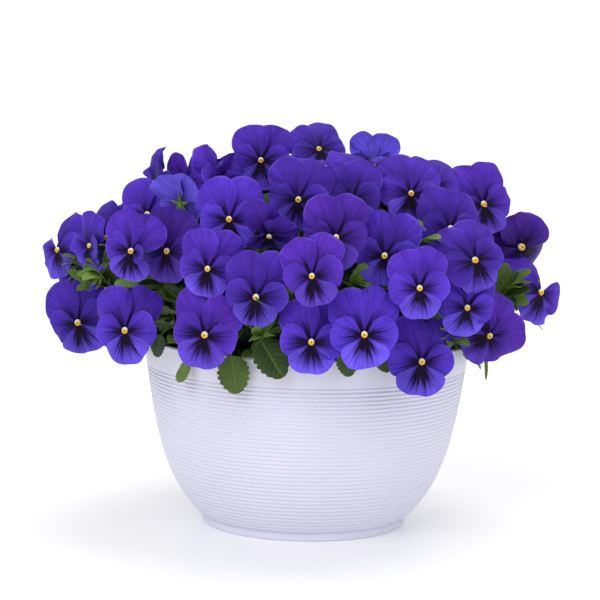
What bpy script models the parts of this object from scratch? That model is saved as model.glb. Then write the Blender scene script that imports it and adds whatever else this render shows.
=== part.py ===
"""Violas in a ribbed plastic bowl: pot, soil, three leafy plants and a dome of blooms.

The frame has +Z up, its origin at the middle of the pot's flat underside, and the side that
the photo shows facing -Y. Sizes below are in millimetres and become metres in the meshes.
"""

import math
from collections import namedtuple

import bmesh
import bpy
import numpy as np
from mathutils.bvhtree import BVHTree

MM = 0.001
GAP = 0.3

# Pot: a turned bowl whose outer radius follows one curve
POT_TOP = 150.0
POT_WALL = 3.0
POT_FLOOR = 5.0
POT_FOOT_RADIUS = 81.5
POT_FOOT_HEIGHT = 6.0
POT_SIDES = 36
POT_LIP_ROUND = 1.5
WALL_HEIGHTS = (17, 34, 62, 100)
DRAIN_RADIUS = 5.0
DRAIN_RING = 52.0
DRAIN_COUNT = 6

SOIL_TOP = 131.0
SOIL_DISH = 2.5
COLLAR_RADIUS = 4.5
COLLAR_RING = 58.0
COLLAR_DEPTH = 22.0
COLLAR_SIDES = 8

# Leafy crown: three wedges of one lens, 120 degrees each
PLANT_COUNT = 3
PLANT_TURN = 90.0
CORE_MIDDLE = 188.0
CORE_RADIUS = 122.0
CORE_UP = 62.0
CORE_DOWN = 50.0
CORE_LEVELS = (-60, -28, 0, 25, 50, 72)
CORE_TURNS = 7
WEDGE_INSET = 0.8
# Shares of the way from the lens's middle at which stems and leaves are rooted in it
STEM_DEPTH = 0.88
LEAF_DEPTH = 0.86

# Dome on which the flowers' eyes lie: an ellipse above its middle, squarer below
SHELL_MIDDLE = 205.0
SHELL_RADIUS = 178.0
SHELL_UP = 88.0
SHELL_DOWN = 78.0
TIER_STEP = 9.0

# Where the photo was taken from, which places the blooms that it shows
VIEW_DISTANCE = 2000.0
VIEW_HEIGHT = 448.0
VIEW_PITCH = math.radians(7.68)
VIEW_ROLL = math.radians(1.17)
VIEW_FOCAL = 2528.0
VIEW_MIDDLE_X = 307.7
VIEW_MIDDLE_Y = 300.0

# A bloom seen in the photo: the pixel of its eye, half its width in millimetres, the way it
# faces (turn to the right, nod down, roll clockwise, in degrees) and its step out of the dome
Seen = namedtuple("Seen", "px py half turn nod roll tier")
SEEN_BLOOMS = (
    Seen(px=134, py=252, half=23, turn=-12, nod=0, roll=8, tier=1.0),
    Seen(px=208, py=267, half=22.5, turn=-6, nod=0, roll=8, tier=1.0),
    Seen(px=78, py=323, half=26, turn=-14, nod=5, roll=-20, tier=0.5),
    Seen(px=125, py=331, half=26, turn=-22, nod=0, roll=-8, tier=1.0),
    Seen(px=204, py=335, half=26, turn=-6, nod=5, roll=12, tier=0.6),
    Seen(px=264, py=297, half=24, turn=-4, nod=18, roll=4, tier=0.0),
    Seen(px=230, py=221, half=24, turn=-6, nod=-5, roll=-4, tier=0.3),
    Seen(px=265, py=166, half=23, turn=-4, nod=-8, roll=0, tier=0.6),
    Seen(px=93, py=246, half=21, turn=-52, nod=0, roll=0, tier=0.3),
    Seen(px=71, py=272, half=23, turn=-40, nod=-5, roll=-10, tier=-0.8),
    Seen(px=148, py=214, half=23, turn=-18, nod=-10, roll=-6, tier=0.0),
    Seen(px=298, py=200, half=24, turn=0, nod=-4, roll=6, tier=0.6),
    Seen(px=318, py=150, half=23, turn=6, nod=-30, roll=-16, tier=-0.4),
    Seen(px=411, py=194, half=24, turn=13, nod=-13, roll=10, tier=0.5),
    Seen(px=451, py=229, half=24, turn=15, nod=-7, roll=4, tier=0.2),
    Seen(px=331, py=242, half=24, turn=4, nod=6, roll=0, tier=0.2),
    Seen(px=385, py=257, half=24, turn=-12, nod=0, roll=4, tier=0.4),
    Seen(px=306, py=275, half=22.5, turn=-14, nod=4, roll=-12, tier=0.4),
    Seen(px=415, py=289, half=23, turn=6, nod=0, roll=-3, tier=1.0),
    Seen(px=475, py=263, half=26, turn=14, nod=-20, roll=-24, tier=1.4),
    Seen(px=466, py=307, half=23, turn=14, nod=8, roll=6, tier=0.4),
    Seen(px=368, py=334, half=25.5, turn=4, nod=0, roll=-2, tier=1.2),
    Seen(px=310, py=342, half=24.5, turn=-2, nod=0, roll=0, tier=0.4),
    Seen(px=423, py=361, half=26, turn=8, nod=2, roll=2, tier=1.0),
    Seen(px=489, py=336, half=24, turn=16, nod=4, roll=62, tier=-0.2),
    Seen(px=526, py=245, half=27, turn=26, nod=4, roll=-58, tier=0.4),
    Seen(px=352, py=199, half=24, turn=4, nod=-12, roll=-4, tier=-0.2),
    Seen(px=160, py=185, half=22, turn=-66, nod=-6, roll=0, tier=0.0),
    Seen(px=188, py=182, half=22, turn=-52, nod=-6, roll=-8, tier=-0.4),
    Seen(px=214, py=181, half=22, turn=62, nod=-8, roll=10, tier=-0.4),
    Seen(px=186, py=204, half=20, turn=150, nod=-14, roll=0, tier=0.9),
    Seen(px=378, py=160, half=24, turn=172, nod=-24, roll=0, tier=-0.5),
    Seen(px=479, py=204, half=26, turn=24, nod=-12, roll=-8, tier=-0.6),
    Seen(px=535, py=294, half=25, turn=58, nod=4, roll=10, tier=0.0),
    Seen(px=271, py=236, half=22, turn=-8, nod=48, roll=10, tier=0.2),
    Seen(px=63, py=251, half=21, turn=-66, nod=0, roll=0, tier=-0.2),
    Seen(px=101, py=238, half=23, turn=-34, nod=-10, roll=0, tier=-0.8),
    Seen(px=163, py=250, half=24, turn=-24, nod=0, roll=0, tier=-0.9),
    Seen(px=433, py=189, half=22, turn=14, nod=-34, roll=0, tier=-0.8),
)

# The unseen top, sides and back are closed with rows of two or three blooms whose petals cross
ROW_SIZES = (3, 3, 3, 3, 3, 2, 2, 2, 2, 2, 2, 2, 2, 2, 2, 2)
ROW_PITCH = 40.0
ROW_TURN = 15.0
ROW_SINK = ROW_PITCH / 2 * math.tan(math.radians(ROW_TURN))
FACES_UP = 0.72
COVER_RADIUS = 26.0
SEEN_FROM_FRONT = 0.32
LAYOUT_SEED = 11
ROW_MOVES = (0, 0.8, -0.8, 1.6, -1.6, 2.4, -2.4, 3.2, -3.2, 4.0, -4.0, 5.0, -5.0)
LEAST_CROSSINGS = 8
ROW_LOWEST = 160.0
ROW_TILT = 9.0
ROW_LIFT = 2.5
ROW_HALVES = (24.5, 27.5)
UNDER_NOD = 6.0
SPOT_COUNT = 900

# How blooms give each other room: in small steps, mostly along the ray to the photo's viewpoint
RELAX_STEPS = 80
RELAX_RINGS = (0.45, 0.75, 1.0)
LONGEST_STEP = 2.5
SIDE_GIVE = 0.45
ROW_GIVE = 3.0
HOME_PULL = 0.02
SETTLE_TURNS = 24
SETTLE_STEP = 2.5
BLOOM_CLEAR = 7.6
POT_CLEAR = 5.0
CORE_CLEAR = 6.0
CORE_PUSH = 70.0

# Bloom, for a half width of 25: petals in three layers round a hub of five facets
Petal = namedtuple("Petal", "angle long wide level lean points")
PETALS = (
    Petal(angle=61, long=34.0, wide=34.0, level=0, lean=-0.17, points=5),
    Petal(angle=119, long=34.0, wide=34.0, level=1, lean=-0.11, points=5),
    Petal(angle=178, long=25.5, wide=27.0, level=2, lean=-0.01, points=4),
    Petal(angle=270, long=25.5, wide=40.0, level=3, lean=0.08, points=5),
    Petal(angle=362, long=25.5, wide=27.0, level=2, lean=-0.01, points=4),
)
HUB_CORNERS = (30, 90, 150, 215, 325)
HUB_RADIUS = 3.2
HUB_BACK = -5.5
HUB_FRONT = 2.6
HUB_LEVEL = -2.0
PETAL_THICK = 0.8
PETAL_CUP = 4.0
CUP_REACH = 28.0
WIDEST = 0.58
ROOT_TAPER = 0.75
OUTLINE_SWEEP = math.radians(133)
NOMINAL_HALF = 25.0

FAR = 12.0
STEM_RADIUS = 1.3
STEM_CLEAR = 4.4
STEM_RINGS = 4
STEM_SIDES = 3
STEM_HEIGHTS = (178, 195, 162, 215, 235, 148)
STEM_BENDS = (10, 16, 7, 22, 5)
STEM_SWINGS = (0, -16, 16, -34, 34, -60, 60)
STEM_LEAST = 7.0
STEM_KNEES = (
    (0, 0), (0, -9), (8, -4), (-8, -4), (0, 8), (0, -20), (14, -16), (-14, -16),
    (18, 0), (-18, 0), (0, -32), (20, -28), (-20, -28), (0, 18), (16, 12), (-16, 12),
)

# Leaves: an arched scalloped blade with its stalk in one plate
LEAF_THICK = 0.9
LEAF_STALK = 1.0
LEAF_CLEAR = 5.0
LEAVES_PER_PLANT = 10
RIM_LEAVES_PER_PLANT = 6
LEAF_TRIES = 1200
LEAF_SEED = 5
LEAF_BASE = 14
LEAF_LAST = 40
RIM_LEAF_RINGS = (134, 143)
RIM_LEAF_BASES = (154, 160)
RIM_LEAF_DROPS = (20, 30)
RIM_LEAF_HALVES = (10, 13)
RIM_LEAF_ROOT = 172.0
GAP_LEAF_RISES = (-0.15, 1.35)
GAP_LEAF_REACHES = (0.86, 1.02)
GAP_LEAF_HALVES = (8, 12)
LEAF_STEPS = (0.04, 0.24, 0.34, 0.56, 0.66, 0.84)
LEAF_WIDTHS = (0.50, 1.0, 0.86, 0.96, 0.74, 0.60)
Leaf = namedtuple("Leaf", "root base tip half roll arch")

# Leaves that the photo shows over the rim: pixels of the blade's base and tip, half its width
# in millimetres, and the radius round the pot's axis at which it hangs
SeenLeaf = namedtuple("SeenLeaf", "base_px base_py tip_px tip_py half radius")
SEEN_LEAVES = (
    SeenLeaf(base_px=231, base_py=356, tip_px=237, tip_py=394, half=12.5, radius=138),
    SeenLeaf(base_px=260, base_py=340, tip_px=283, tip_py=378, half=13.0, radius=142),
    SeenLeaf(base_px=190, base_py=364, tip_px=177, tip_py=381, half=8.0, radius=139),
    SeenLeaf(base_px=161, base_py=335, tip_px=156, tip_py=357, half=10.0, radius=146),
    SeenLeaf(base_px=345, base_py=349, tip_px=349, tip_py=377, half=8.5, radius=138),
    SeenLeaf(base_px=379, base_py=352, tip_px=389, tip_py=372, half=8.0, radius=137),
)


def unit(vector):
    return vector / np.linalg.norm(vector)


def view_ray(px, py):
    """Direction from the photo's viewpoint through a pixel of its 600 by 600 frame."""
    across = px - VIEW_MIDDLE_X
    down = py - VIEW_MIDDLE_Y
    u = across * math.cos(VIEW_ROLL) + down * math.sin(VIEW_ROLL)
    v = down * math.cos(VIEW_ROLL) - across * math.sin(VIEW_ROLL)
    c, s = math.cos(VIEW_PITCH), math.sin(VIEW_PITCH)
    return unit(np.array([u / VIEW_FOCAL, c - v / VIEW_FOCAL * s, -s - v / VIEW_FOCAL * c]))


def dome_value(points, middle, radius, up, down):
    """Under 1 inside a dome: an ellipse above its middle, a squarer one below."""
    flat = np.hypot(points[..., 0], points[..., 1]) / radius
    rise = points[..., 2] - middle
    above = np.hypot(flat, rise / up)
    below = (flat**3 + np.abs(rise / down) ** 3) ** (1 / 3)
    return np.where(rise > 0, above, below)


def shell_value(points):
    return dome_value(points, SHELL_MIDDLE, SHELL_RADIUS, SHELL_UP, SHELL_DOWN)


def meet_shell(px, py):
    """First point of the dome on a pixel's ray, or the ray's nearest pass of the dome."""
    ray = view_ray(px, py)
    eye = np.array([0.0, -VIEW_DISTANCE, VIEW_HEIGHT])
    points = eye + np.arange(1700.0, 2300.0, 0.5)[:, None] * ray
    value = shell_value(points)
    inside = np.flatnonzero(value <= 1)
    pick = inside[0] if len(inside) else int(np.argmin(value))
    return points[pick], ray


def bloom_axes(turn, nod, roll):
    """Rows: a bloom's right, up and facing directions. Turn 0 faces -Y, turn 90 faces +X."""
    t, n, r = math.radians(turn), math.radians(nod), math.radians(roll)
    face = np.array([math.sin(t) * math.cos(n), -math.cos(t) * math.cos(n), -math.sin(n)])
    side = np.array([math.cos(t), math.sin(t), 0.0])
    up = np.cross(face, side)
    return np.array(
        [side * math.cos(r) - up * math.sin(r), side * math.sin(r) + up * math.cos(r), face]
    )


def petal_outline(petal, angles):
    """Egg, as distances along and across the petal, for angles counted from its tip."""
    middle = WIDEST * petal.long
    reach = np.where(np.abs(angles) < math.pi / 2, petal.long - middle, middle * ROOT_TAPER)
    return middle + reach * np.cos(angles), petal.wide / 2 * np.sin(angles)


def petal_place(petal, along, across):
    """Petal points in the bloom's frame: each layer leans its own way and all cup alike."""
    a = math.radians(petal.angle)
    x = along * math.cos(a) - across * math.sin(a)
    y = along * math.sin(a) + across * math.cos(a)
    far = np.hypot(x, y)
    z = HUB_LEVEL + petal.level * PETAL_THICK + petal.lean * np.maximum(far - HUB_RADIUS, 0)
    return np.stack([x, y, z - PETAL_CUP * (far / CUP_REACH) ** 2], axis=-1)


def bloom_samples(half, rings, angles):
    """Points spread over a bloom's petals and down the start of its stem."""
    turns = np.linspace(-OUTLINE_SWEEP, OUTLINE_SWEEP, angles)
    spread = []
    for petal in PETALS:
        along, across = petal_outline(petal, turns)
        spread += [petal_place(petal, along * ring, across * ring) for ring in rings]
    spread.append(np.array([[0, 0, -4.0], [0, 0, -8.0], [0, 0, -13.0]]))
    return np.concatenate(spread) * half / NOMINAL_HALF


def shell_spots(count):
    """Points spread evenly round the dome by the golden angle."""
    k = np.arange(count) + 0.5
    turn = k * math.pi * (3 - math.sqrt(5))
    level = 1 - 2 * k / count
    ring = np.sqrt(1 - level**2)
    spots = SHELL_RADIUS * np.stack([ring * np.cos(turn), ring * np.sin(turn), level], axis=1)
    spots[:, 2] *= np.where(level > 0, SHELL_UP, SHELL_DOWN) / SHELL_RADIUS
    middle = np.array([0, 0, SHELL_MIDDLE])
    return middle + spots / shell_value(spots + middle)[:, None]


# A group is one node of one to three blooms: home is its place before the groups part, ray
# the way in which it gives room, and parts hold each bloom's shift, axes and half width
Group = namedtuple("Group", "home ray parts")


def seen_groups():
    groups = []
    for seen in SEEN_BLOOMS:
        spot, ray = meet_shell(seen.px, seen.py)
        axes = bloom_axes(seen.turn, seen.nod, seen.roll)
        home = spot - ray * seen.tier * TIER_STEP
        groups.append(Group(home, ray, [(np.zeros(3), axes, float(seen.half))]))
    return groups


def shell_normal(spots):
    rise = spots[..., 2] - SHELL_MIDDLE
    up = np.where(rise > 0, SHELL_UP, SHELL_DOWN)
    normal = spots / SHELL_RADIUS**2
    normal[..., 2] = rise / up**2
    return normal / np.linalg.norm(normal, axis=-1)[..., None]


def joined(parts, part, way):
    """The part of a row, moved to and fro until its petals cross the last one's."""
    if not parts:
        return part
    shift, axes, half = part
    last = group_obstacle(Group(None, None, [parts[-1]]), np.zeros(3))
    for move in ROW_MOVES:
        moved = (shift + way * move, axes, half)
        own = group_obstacle(Group(None, None, [moved]), np.zeros(3))
        if len(own.tree.overlap(last.tree)) >= LEAST_CROSSINGS:
            return moved
    raise RuntimeError("two blooms of a row don't join")


def row_groups(seen, draw):
    """Rows go one by one to the spot of the unseen dome that the blooms so far cover least."""
    spots = shell_spots(SPOT_COUNT)
    normals = shell_normal(spots)
    to_view = [0, -math.cos(VIEW_PITCH), math.sin(VIEW_PITCH)]
    free = (normals @ to_view < SEEN_FROM_FRONT) & (spots[:, 2] > ROW_LOWEST)
    spots, normals = spots[free], normals[free]
    taken = [group.home for group in seen]
    faces = [group.parts[0][1][2] for group in seen]
    groups = []
    for size in ROW_SIZES:
        cover = COVER_RADIUS * np.clip(normals @ np.array(faces).T, 0.2, 1)
        bare = np.linalg.norm(spots[:, None] - np.array(taken)[None], axis=2) - cover
        pick = int(np.argmax(bare.min(axis=1)))
        spot, normal = spots[pick], normals[pick]
        facing = math.degrees(math.atan2(normal[0], -normal[1]))
        rise = math.degrees(math.asin(normal[2]))
        nod = -FACES_UP * rise if rise > 0 else UNDER_NOD
        axes = bloom_axes(facing, nod, draw.uniform(-ROW_TILT, ROW_TILT))
        parts = []
        for k in range(size):
            hand = k - (size - 1) / 2
            roll = draw.uniform(-ROW_TILT, ROW_TILT)
            own = bloom_axes(facing + hand * ROW_TURN, nod + draw.uniform(-3, 3), roll)
            shift = hand * ROW_PITCH * axes[0] + draw.uniform(-ROW_LIFT, ROW_LIFT) * axes[1]
            shift = shift - hand**2 * ROW_SINK * axes[2]
            parts.append(joined(parts, (shift, own, draw.uniform(*ROW_HALVES)), axes[2]))
            taken.append(spot + shift)
            faces.append(own[2])
        groups.append(Group(spot, -axes[2], parts))
    return groups


def group_points(group, rings, angles):
    parts = [shift + bloom_samples(half, rings, angles) @ axes for shift, axes, half in group.parts]
    return np.concatenate(parts)


def keep_out(points):
    """Shift that takes a group off the pot and off the leafy core."""
    flat = np.hypot(points[:, 0], points[:, 1])
    pot_radius = outer_radius(POT_TOP) + POT_CLEAR
    up = POT_TOP + POT_CLEAR - points[:, 2]
    out = pot_radius - flat
    deep = np.minimum(up, out)
    push = np.zeros(3)
    k = int(np.argmax(deep))
    if deep[k] > 0:
        outward = np.array([points[k, 0], points[k, 1], 0]) / max(flat[k], 1)
        push += np.array([0, 0, up[k]]) if up[k] < out[k] else outward * out[k]
    grown = (CORE_RADIUS + CORE_CLEAR, CORE_UP + CORE_CLEAR, CORE_DOWN + CORE_CLEAR)
    value = dome_value(points, CORE_MIDDLE, *grown)
    k = int(np.argmin(value))
    if value[k] < 1:
        push += unit(points[k] - np.array([0, 0, CORE_MIDDLE])) * (1 - value[k]) * CORE_PUSH
    return push


def part_groups(groups):
    """Places at which the groups clear each other, giving room mostly along their rays."""
    local = [group_points(group, RELAX_RINGS, 6) for group in groups]
    place = np.array([group.home for group in groups])
    home = place.copy()
    rays = np.array([group.ray for group in groups])
    reach = [np.linalg.norm(points, axis=1).max() for points in local]
    gives = [1.0 if len(group.parts) == 1 else ROW_GIVE for group in groups]
    for step in range(RELAX_STEPS):
        world = [place[i] + local[i] for i in range(len(groups))]
        push = np.zeros_like(place)
        for i in range(len(groups)):
            for j in range(i + 1, len(groups)):
                if np.linalg.norm(place[i] - place[j]) > reach[i] + reach[j] + BLOOM_CLEAR:
                    continue
                gap = world[i][:, None] - world[j][None]
                away = np.sqrt((gap**2).sum(axis=2))
                near = away < BLOOM_CLEAR
                if not near.any():
                    continue
                force = BLOOM_CLEAR - away[near]
                way = gap[near] / np.maximum(away[near], 0.1)[:, None]
                mean = unit((way * force[:, None]).sum(axis=0) + 1e-9) * force.max() / 2
                push[i] += mean * gives[i] * 2 / (gives[i] + gives[j])
                push[j] -= mean * gives[j] * 2 / (gives[i] + gives[j])
            push[i] += keep_out(world[i])
        along = (push * rays).sum(axis=1)[:, None] * rays
        push = along + (push - along) * SIDE_GIVE
        size = np.linalg.norm(push, axis=1)[:, None]
        place += push * np.minimum(1, LONGEST_STEP / np.maximum(size, 1e-9))
        back = home - place
        along = (back * rays).sum(axis=1)[:, None] * rays
        if step < RELAX_STEPS / 2:
            place += (back - along / 2) * HOME_PULL
    return place


def outer_radius(height):
    """Outer radius of the pot's wall: nearly straight above, rounding in to the foot."""
    return 114.3 + 0.1113 * height - 38.7 * math.exp(-height / 33.8)


def settle(groups, places):
    """Steps groups that still cross into the dome, rows first, until none does."""
    places = places.copy()
    for _ in range(SETTLE_TURNS):
        solids = [group_obstacle(group, place) for group, place in zip(groups, places)]
        moved = set()
        for i in range(len(groups)):
            for j in range(i + 1, len(groups)):
                if not meet(solids[i], solids[j]):
                    continue
                both_single = len(groups[i].parts) == len(groups[j].parts) == 1
                back = i if both_single and places[i][1] > places[j][1] else j
                if back not in moved:
                    moved.add(back)
                    places[back] += groups[back].ray * SETTLE_STEP
        if not moved:
            return places
    raise RuntimeError("some blooms still cross")


# Mesh helpers


def new_mesh(name, points, faces, smooth=False):
    mesh = bpy.data.meshes.new(name)
    mesh.from_pydata((np.asarray(points) * MM).tolist(), [], faces)
    mesh.validate()
    if smooth:
        mesh.shade_smooth()
        mesh.set_sharp_from_angle(angle=math.radians(40))
    return mesh


def add_object(name, mesh, material, parent=None):
    item = bpy.data.objects.new(name, mesh)
    bpy.context.collection.objects.link(item)
    if material:
        mesh.materials.clear()
        mesh.materials.append(material)
    item.parent = parent
    return item


def new_material(name, colour, roughness):
    material = bpy.data.materials.new(name)
    material.use_nodes = True
    shader = material.node_tree.nodes["Principled BSDF"]
    shader.inputs["Base Color"].default_value = (*colour, 1.0)
    shader.inputs["Roughness"].default_value = roughness
    shader.inputs["Metallic"].default_value = 0.0
    return material


def fuse(name, meshes, operation="UNION", solver="EXACT"):
    """One mesh from the first and all the others, by one Boolean on a collection."""
    base = add_object(name, meshes[0], None)
    others = bpy.data.collections.new(name + "_others")
    bpy.context.scene.collection.children.link(others)
    for mesh in meshes[1:]:
        others.objects.link(bpy.data.objects.new(name + "_other", mesh))
    boolean = base.modifiers.new("Fuse", "BOOLEAN")
    boolean.operation = operation
    boolean.operand_type = "COLLECTION"
    boolean.collection = others
    boolean.solver = solver
    graph = bpy.context.evaluated_depsgraph_get()
    fused = bpy.data.meshes.new_from_object(base.evaluated_get(graph))
    fused.name = name
    for item in list(others.objects) + [base]:
        bpy.data.objects.remove(item)
    bpy.data.collections.remove(others)
    return fused


def turned_mesh(name, profile, sides):
    """Closed solid turned from (radius, height) points that run up the outside and back."""
    turn = np.arange(sides) * 2 * math.pi / sides
    rings = [(r, z) for r, z in profile if r > 0]
    points = [[r * math.cos(t), r * math.sin(t), z] for r, z in rings for t in turn]
    faces = []
    for ring in range(len(rings) - 1):
        for k in range(sides):
            a, b = ring * sides + k, ring * sides + (k + 1) % sides
            faces.append((a, b, b + sides, a + sides))
    last = (len(rings) - 1) * sides
    faces.append(tuple(reversed(range(sides))))
    faces.append(tuple(range(last, last + sides)))
    return new_mesh(name, points, faces, smooth=True)


def prism_mesh(name, centre, radius, bottom, top, sides):
    turn = (np.arange(sides) + 0.5) * 2 * math.pi / sides
    points = [
        [centre[0] + radius * math.cos(t), centre[1] + radius * math.sin(t), z]
        for z in (bottom, top)
        for t in turn
    ]
    faces = [(k, (k + 1) % sides, sides + (k + 1) % sides, sides + k) for k in range(sides)]
    faces += [tuple(reversed(range(sides))), tuple(range(sides, 2 * sides))]
    return new_mesh(name, points, faces)


# Pot and soil


def inner_radius(height):
    return outer_radius(height) - POT_WALL


def make_pot(material, parent):
    heights = (POT_FOOT_HEIGHT + 2, *WALL_HEIGHTS)
    profile = [(POT_FOOT_RADIUS - 1, 0), (POT_FOOT_RADIUS, 1.2), (POT_FOOT_RADIUS, POT_FOOT_HEIGHT)]
    profile += [(outer_radius(z), z) for z in heights]
    rim = outer_radius(POT_TOP)
    profile += [(rim, POT_TOP - POT_LIP_ROUND), (rim - POT_LIP_ROUND, POT_TOP)]
    profile += [(rim - POT_WALL, POT_TOP - POT_LIP_ROUND)]
    profile += [(inner_radius(z), z) for z in reversed(heights)]
    profile += [(inner_radius(heights[0]) - 3, POT_FLOOR)]
    body = turned_mesh("pot", profile, POT_SIDES)
    holes = []
    for k in range(DRAIN_COUNT):
        turn = 2 * math.pi * (k + 0.5) / DRAIN_COUNT
        centre = (DRAIN_RING * math.cos(turn), DRAIN_RING * math.sin(turn))
        holes.append(prism_mesh("drain", centre, DRAIN_RADIUS, -2, POT_FLOOR + 2, 10))
    add_object("pot", fuse("pot", [body] + holes, "DIFFERENCE"), material, parent)


def make_soil(material, parent):
    profile = [(inner_radius(POT_FOOT_HEIGHT + 2) - 4, POT_FLOOR + GAP)]
    profile += [(inner_radius(z) - GAP, z) for z in WALL_HEIGHTS]
    profile += [(inner_radius(SOIL_TOP) - GAP - 0.5, SOIL_TOP)]
    profile += [(inner_radius(SOIL_TOP) * 0.55, SOIL_TOP - SOIL_DISH)]
    body = turned_mesh("soil", profile, POT_SIDES)
    holes = []
    for plant in range(PLANT_COUNT):
        holes.append(
            prism_mesh(
                "hole", collar_centre(plant), COLLAR_RADIUS + GAP * 1.5,
                SOIL_TOP - COLLAR_DEPTH - GAP, SOIL_TOP + 5, COLLAR_SIDES,
            )
        )
    add_object("soil", fuse("soil", [body] + holes, "DIFFERENCE"), material, parent)


# Blooms


def bloom_arrays(half):
    """One bloom's points and triangles, by construction: a hub with five facets, from whose
    facets the petals run out as plates, each in its own layer."""
    scale = half / NOMINAL_HALF
    points = [[0, 0, HUB_BACK], [0, 0, HUB_FRONT]]
    faces = []
    edges = [HUB_LEVEL + (level - 0.5) * PETAL_THICK for level in range(5)]
    columns = []
    for k, angle in enumerate(HUB_CORNERS):
        x = HUB_RADIUS * math.cos(math.radians(angle))
        y = HUB_RADIUS * math.sin(math.radians(angle))
        before, after = PETALS[k - 1].level, PETALS[k].level
        marks = sorted({before, before + 1, after, after + 1})
        columns.append({mark: len(points) + n for n, mark in enumerate(marks)})
        points += [[x, y, edges[mark]] for mark in marks]
    for k, petal in enumerate(PETALS):
        right, left = columns[k], columns[(k + 1) % len(PETALS)]
        low, high = petal.level, petal.level + 1
        # the hub's back and front, as fans from its two tips
        chain = [left[m] for m in sorted(left) if m <= low]
        chain += [right[m] for m in sorted(right, reverse=True) if m <= low]
        faces += [(0, chain[n], chain[n + 1]) for n in range(len(chain) - 1)]
        chain = [right[m] for m in sorted(right, reverse=True) if m >= high]
        chain += [left[m] for m in sorted(left) if m >= high]
        faces += [(1, chain[n], chain[n + 1]) for n in range(len(chain) - 1)]
        # the petal, in rungs from its root to its tip
        turns = np.linspace(-OUTLINE_SWEEP, OUTLINE_SWEEP, petal.points)
        edge = petal_place(petal, *petal_outline(petal, turns))
        start = len(points)
        points += (edge - [0, 0, PETAL_THICK / 2]).tolist()
        points += (edge + [0, 0, PETAL_THICK / 2]).tolist()
        count = petal.points
        back = [right[low]] + list(range(start, start + count)) + [left[low]]
        front = [right[high]] + list(range(start + count, start + 2 * count)) + [left[high]]
        last = len(back) - 1
        for n in range(last):
            faces += [(back[n], back[n + 1], front[n + 1]), (back[n], front[n + 1], front[n])]
        a, b = 0, last
        while b - a > 1:
            if b - a > 2:
                faces += [(front[a], front[a + 1], front[b - 1]), (front[a], front[b - 1], front[b])]
                faces += [(back[b - 1], back[a + 1], back[a]), (back[b], back[b - 1], back[a])]
            else:
                faces += [(front[a], front[a + 1], front[b]), (back[b], back[a + 1], back[a])]
            a, b = a + 1, b - 1
    return np.array(points) * scale, faces


def make_blooms(groups, places, material, parent):
    single, row = 0, 0
    for group, place in zip(groups, places):
        meshes = []
        for shift, axes, half in group.parts:
            points, faces = bloom_arrays(half)
            meshes.append(new_mesh("bloom", shift + points @ axes, faces))
        if len(meshes) == 1:
            single += 1
            name = f"bloom_{single:02d}"
            mesh = meshes[0]
        else:
            row += 1
            name = f"bloom_row_{row:02d}"
            mesh = fuse(name, meshes, solver="MANIFOLD")
        item = add_object(name, mesh, material, parent)
        item.location = (place * MM).tolist()


# Plants


def collar_centre(plant):
    turn = math.radians(PLANT_TURN + plant * 360 / PLANT_COUNT)
    return COLLAR_RING * math.cos(turn), COLLAR_RING * math.sin(turn)


def wedge_normals(plant):
    """Inward normals of the two upright planes that bound a plant's wedge."""
    middle = math.radians(PLANT_TURN + plant * 360 / PLANT_COUNT)
    half = math.pi / PLANT_COUNT
    low, high = middle - half, middle + half
    return np.array([[-math.sin(low), math.cos(low), 0], [math.sin(high), -math.cos(high), 0]])


def wedge_room(points, plant):
    """Distance inside the plant's wedge, negative outside it."""
    return (points @ wedge_normals(plant).T).min(axis=-1)


def plant_of(point):
    rooms = [wedge_room(point, plant) for plant in range(PLANT_COUNT)]
    return int(np.argmax(rooms))


def core_value(points):
    return dome_value(points, CORE_MIDDLE, CORE_RADIUS, CORE_UP, CORE_DOWN)


def core_mesh(plant):
    """A wedge of the leafy lens, as the hull of points on its face and on its axis."""
    middle = math.radians(PLANT_TURN + plant * 360 / PLANT_COUNT)
    shift = WEDGE_INSET / math.sin(math.pi / PLANT_COUNT)
    turns = middle + np.linspace(-0.5, 0.5, CORE_TURNS) * 2 * math.pi / PLANT_COUNT
    middle_point = np.array([0, 0, CORE_MIDDLE])
    points = []
    for level in np.radians(CORE_LEVELS):
        for turn in turns:
            flat = CORE_RADIUS * math.cos(level)
            rise = (CORE_UP if level > 0 else CORE_DOWN) * math.sin(level)
            way = np.array([flat * math.cos(turn), flat * math.sin(turn), rise])
            points.append(middle_point + way / core_value(middle_point + way))
    points.append([0, 0, CORE_MIDDLE + CORE_UP])
    points.append([0, 0, points[0][2]])
    hull = bmesh.new()
    for point in points:
        x = point[0] + shift * math.cos(middle)
        y = point[1] + shift * math.sin(middle)
        hull.verts.new((x * MM, y * MM, point[2] * MM))
    result = bmesh.ops.convex_hull(hull, input=hull.verts)
    spare = [item for item in result["geom_interior"] if isinstance(item, bmesh.types.BMVert)]
    bmesh.ops.delete(hull, geom=spare, context="VERTS")
    bmesh.ops.recalc_face_normals(hull, faces=hull.faces)
    mesh = bpy.data.meshes.new("core")
    hull.to_mesh(mesh)
    hull.free()
    return mesh


def bezier(corners, steps):
    """Points of the curve that four corners span."""
    t = np.linspace(0, 1, steps)[:, None]
    a, b, c, d = (np.asarray(corner) for corner in corners)
    return a * (1 - t) ** 3 + 3 * b * t * (1 - t) ** 2 + 3 * c * t**2 * (1 - t) + d * t**3


def clearance(points, others):
    """Shortest distance between two sets of points, looked for up to FAR."""
    low, high = points.min(axis=0) - FAR, points.max(axis=0) + FAR
    near = others[((others > low) & (others < high)).all(axis=1)]
    if not len(near):
        return FAR
    gap = points[:, None] - near[None]
    return min(FAR, float(np.sqrt((gap**2).sum(axis=2)).min()))


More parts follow.
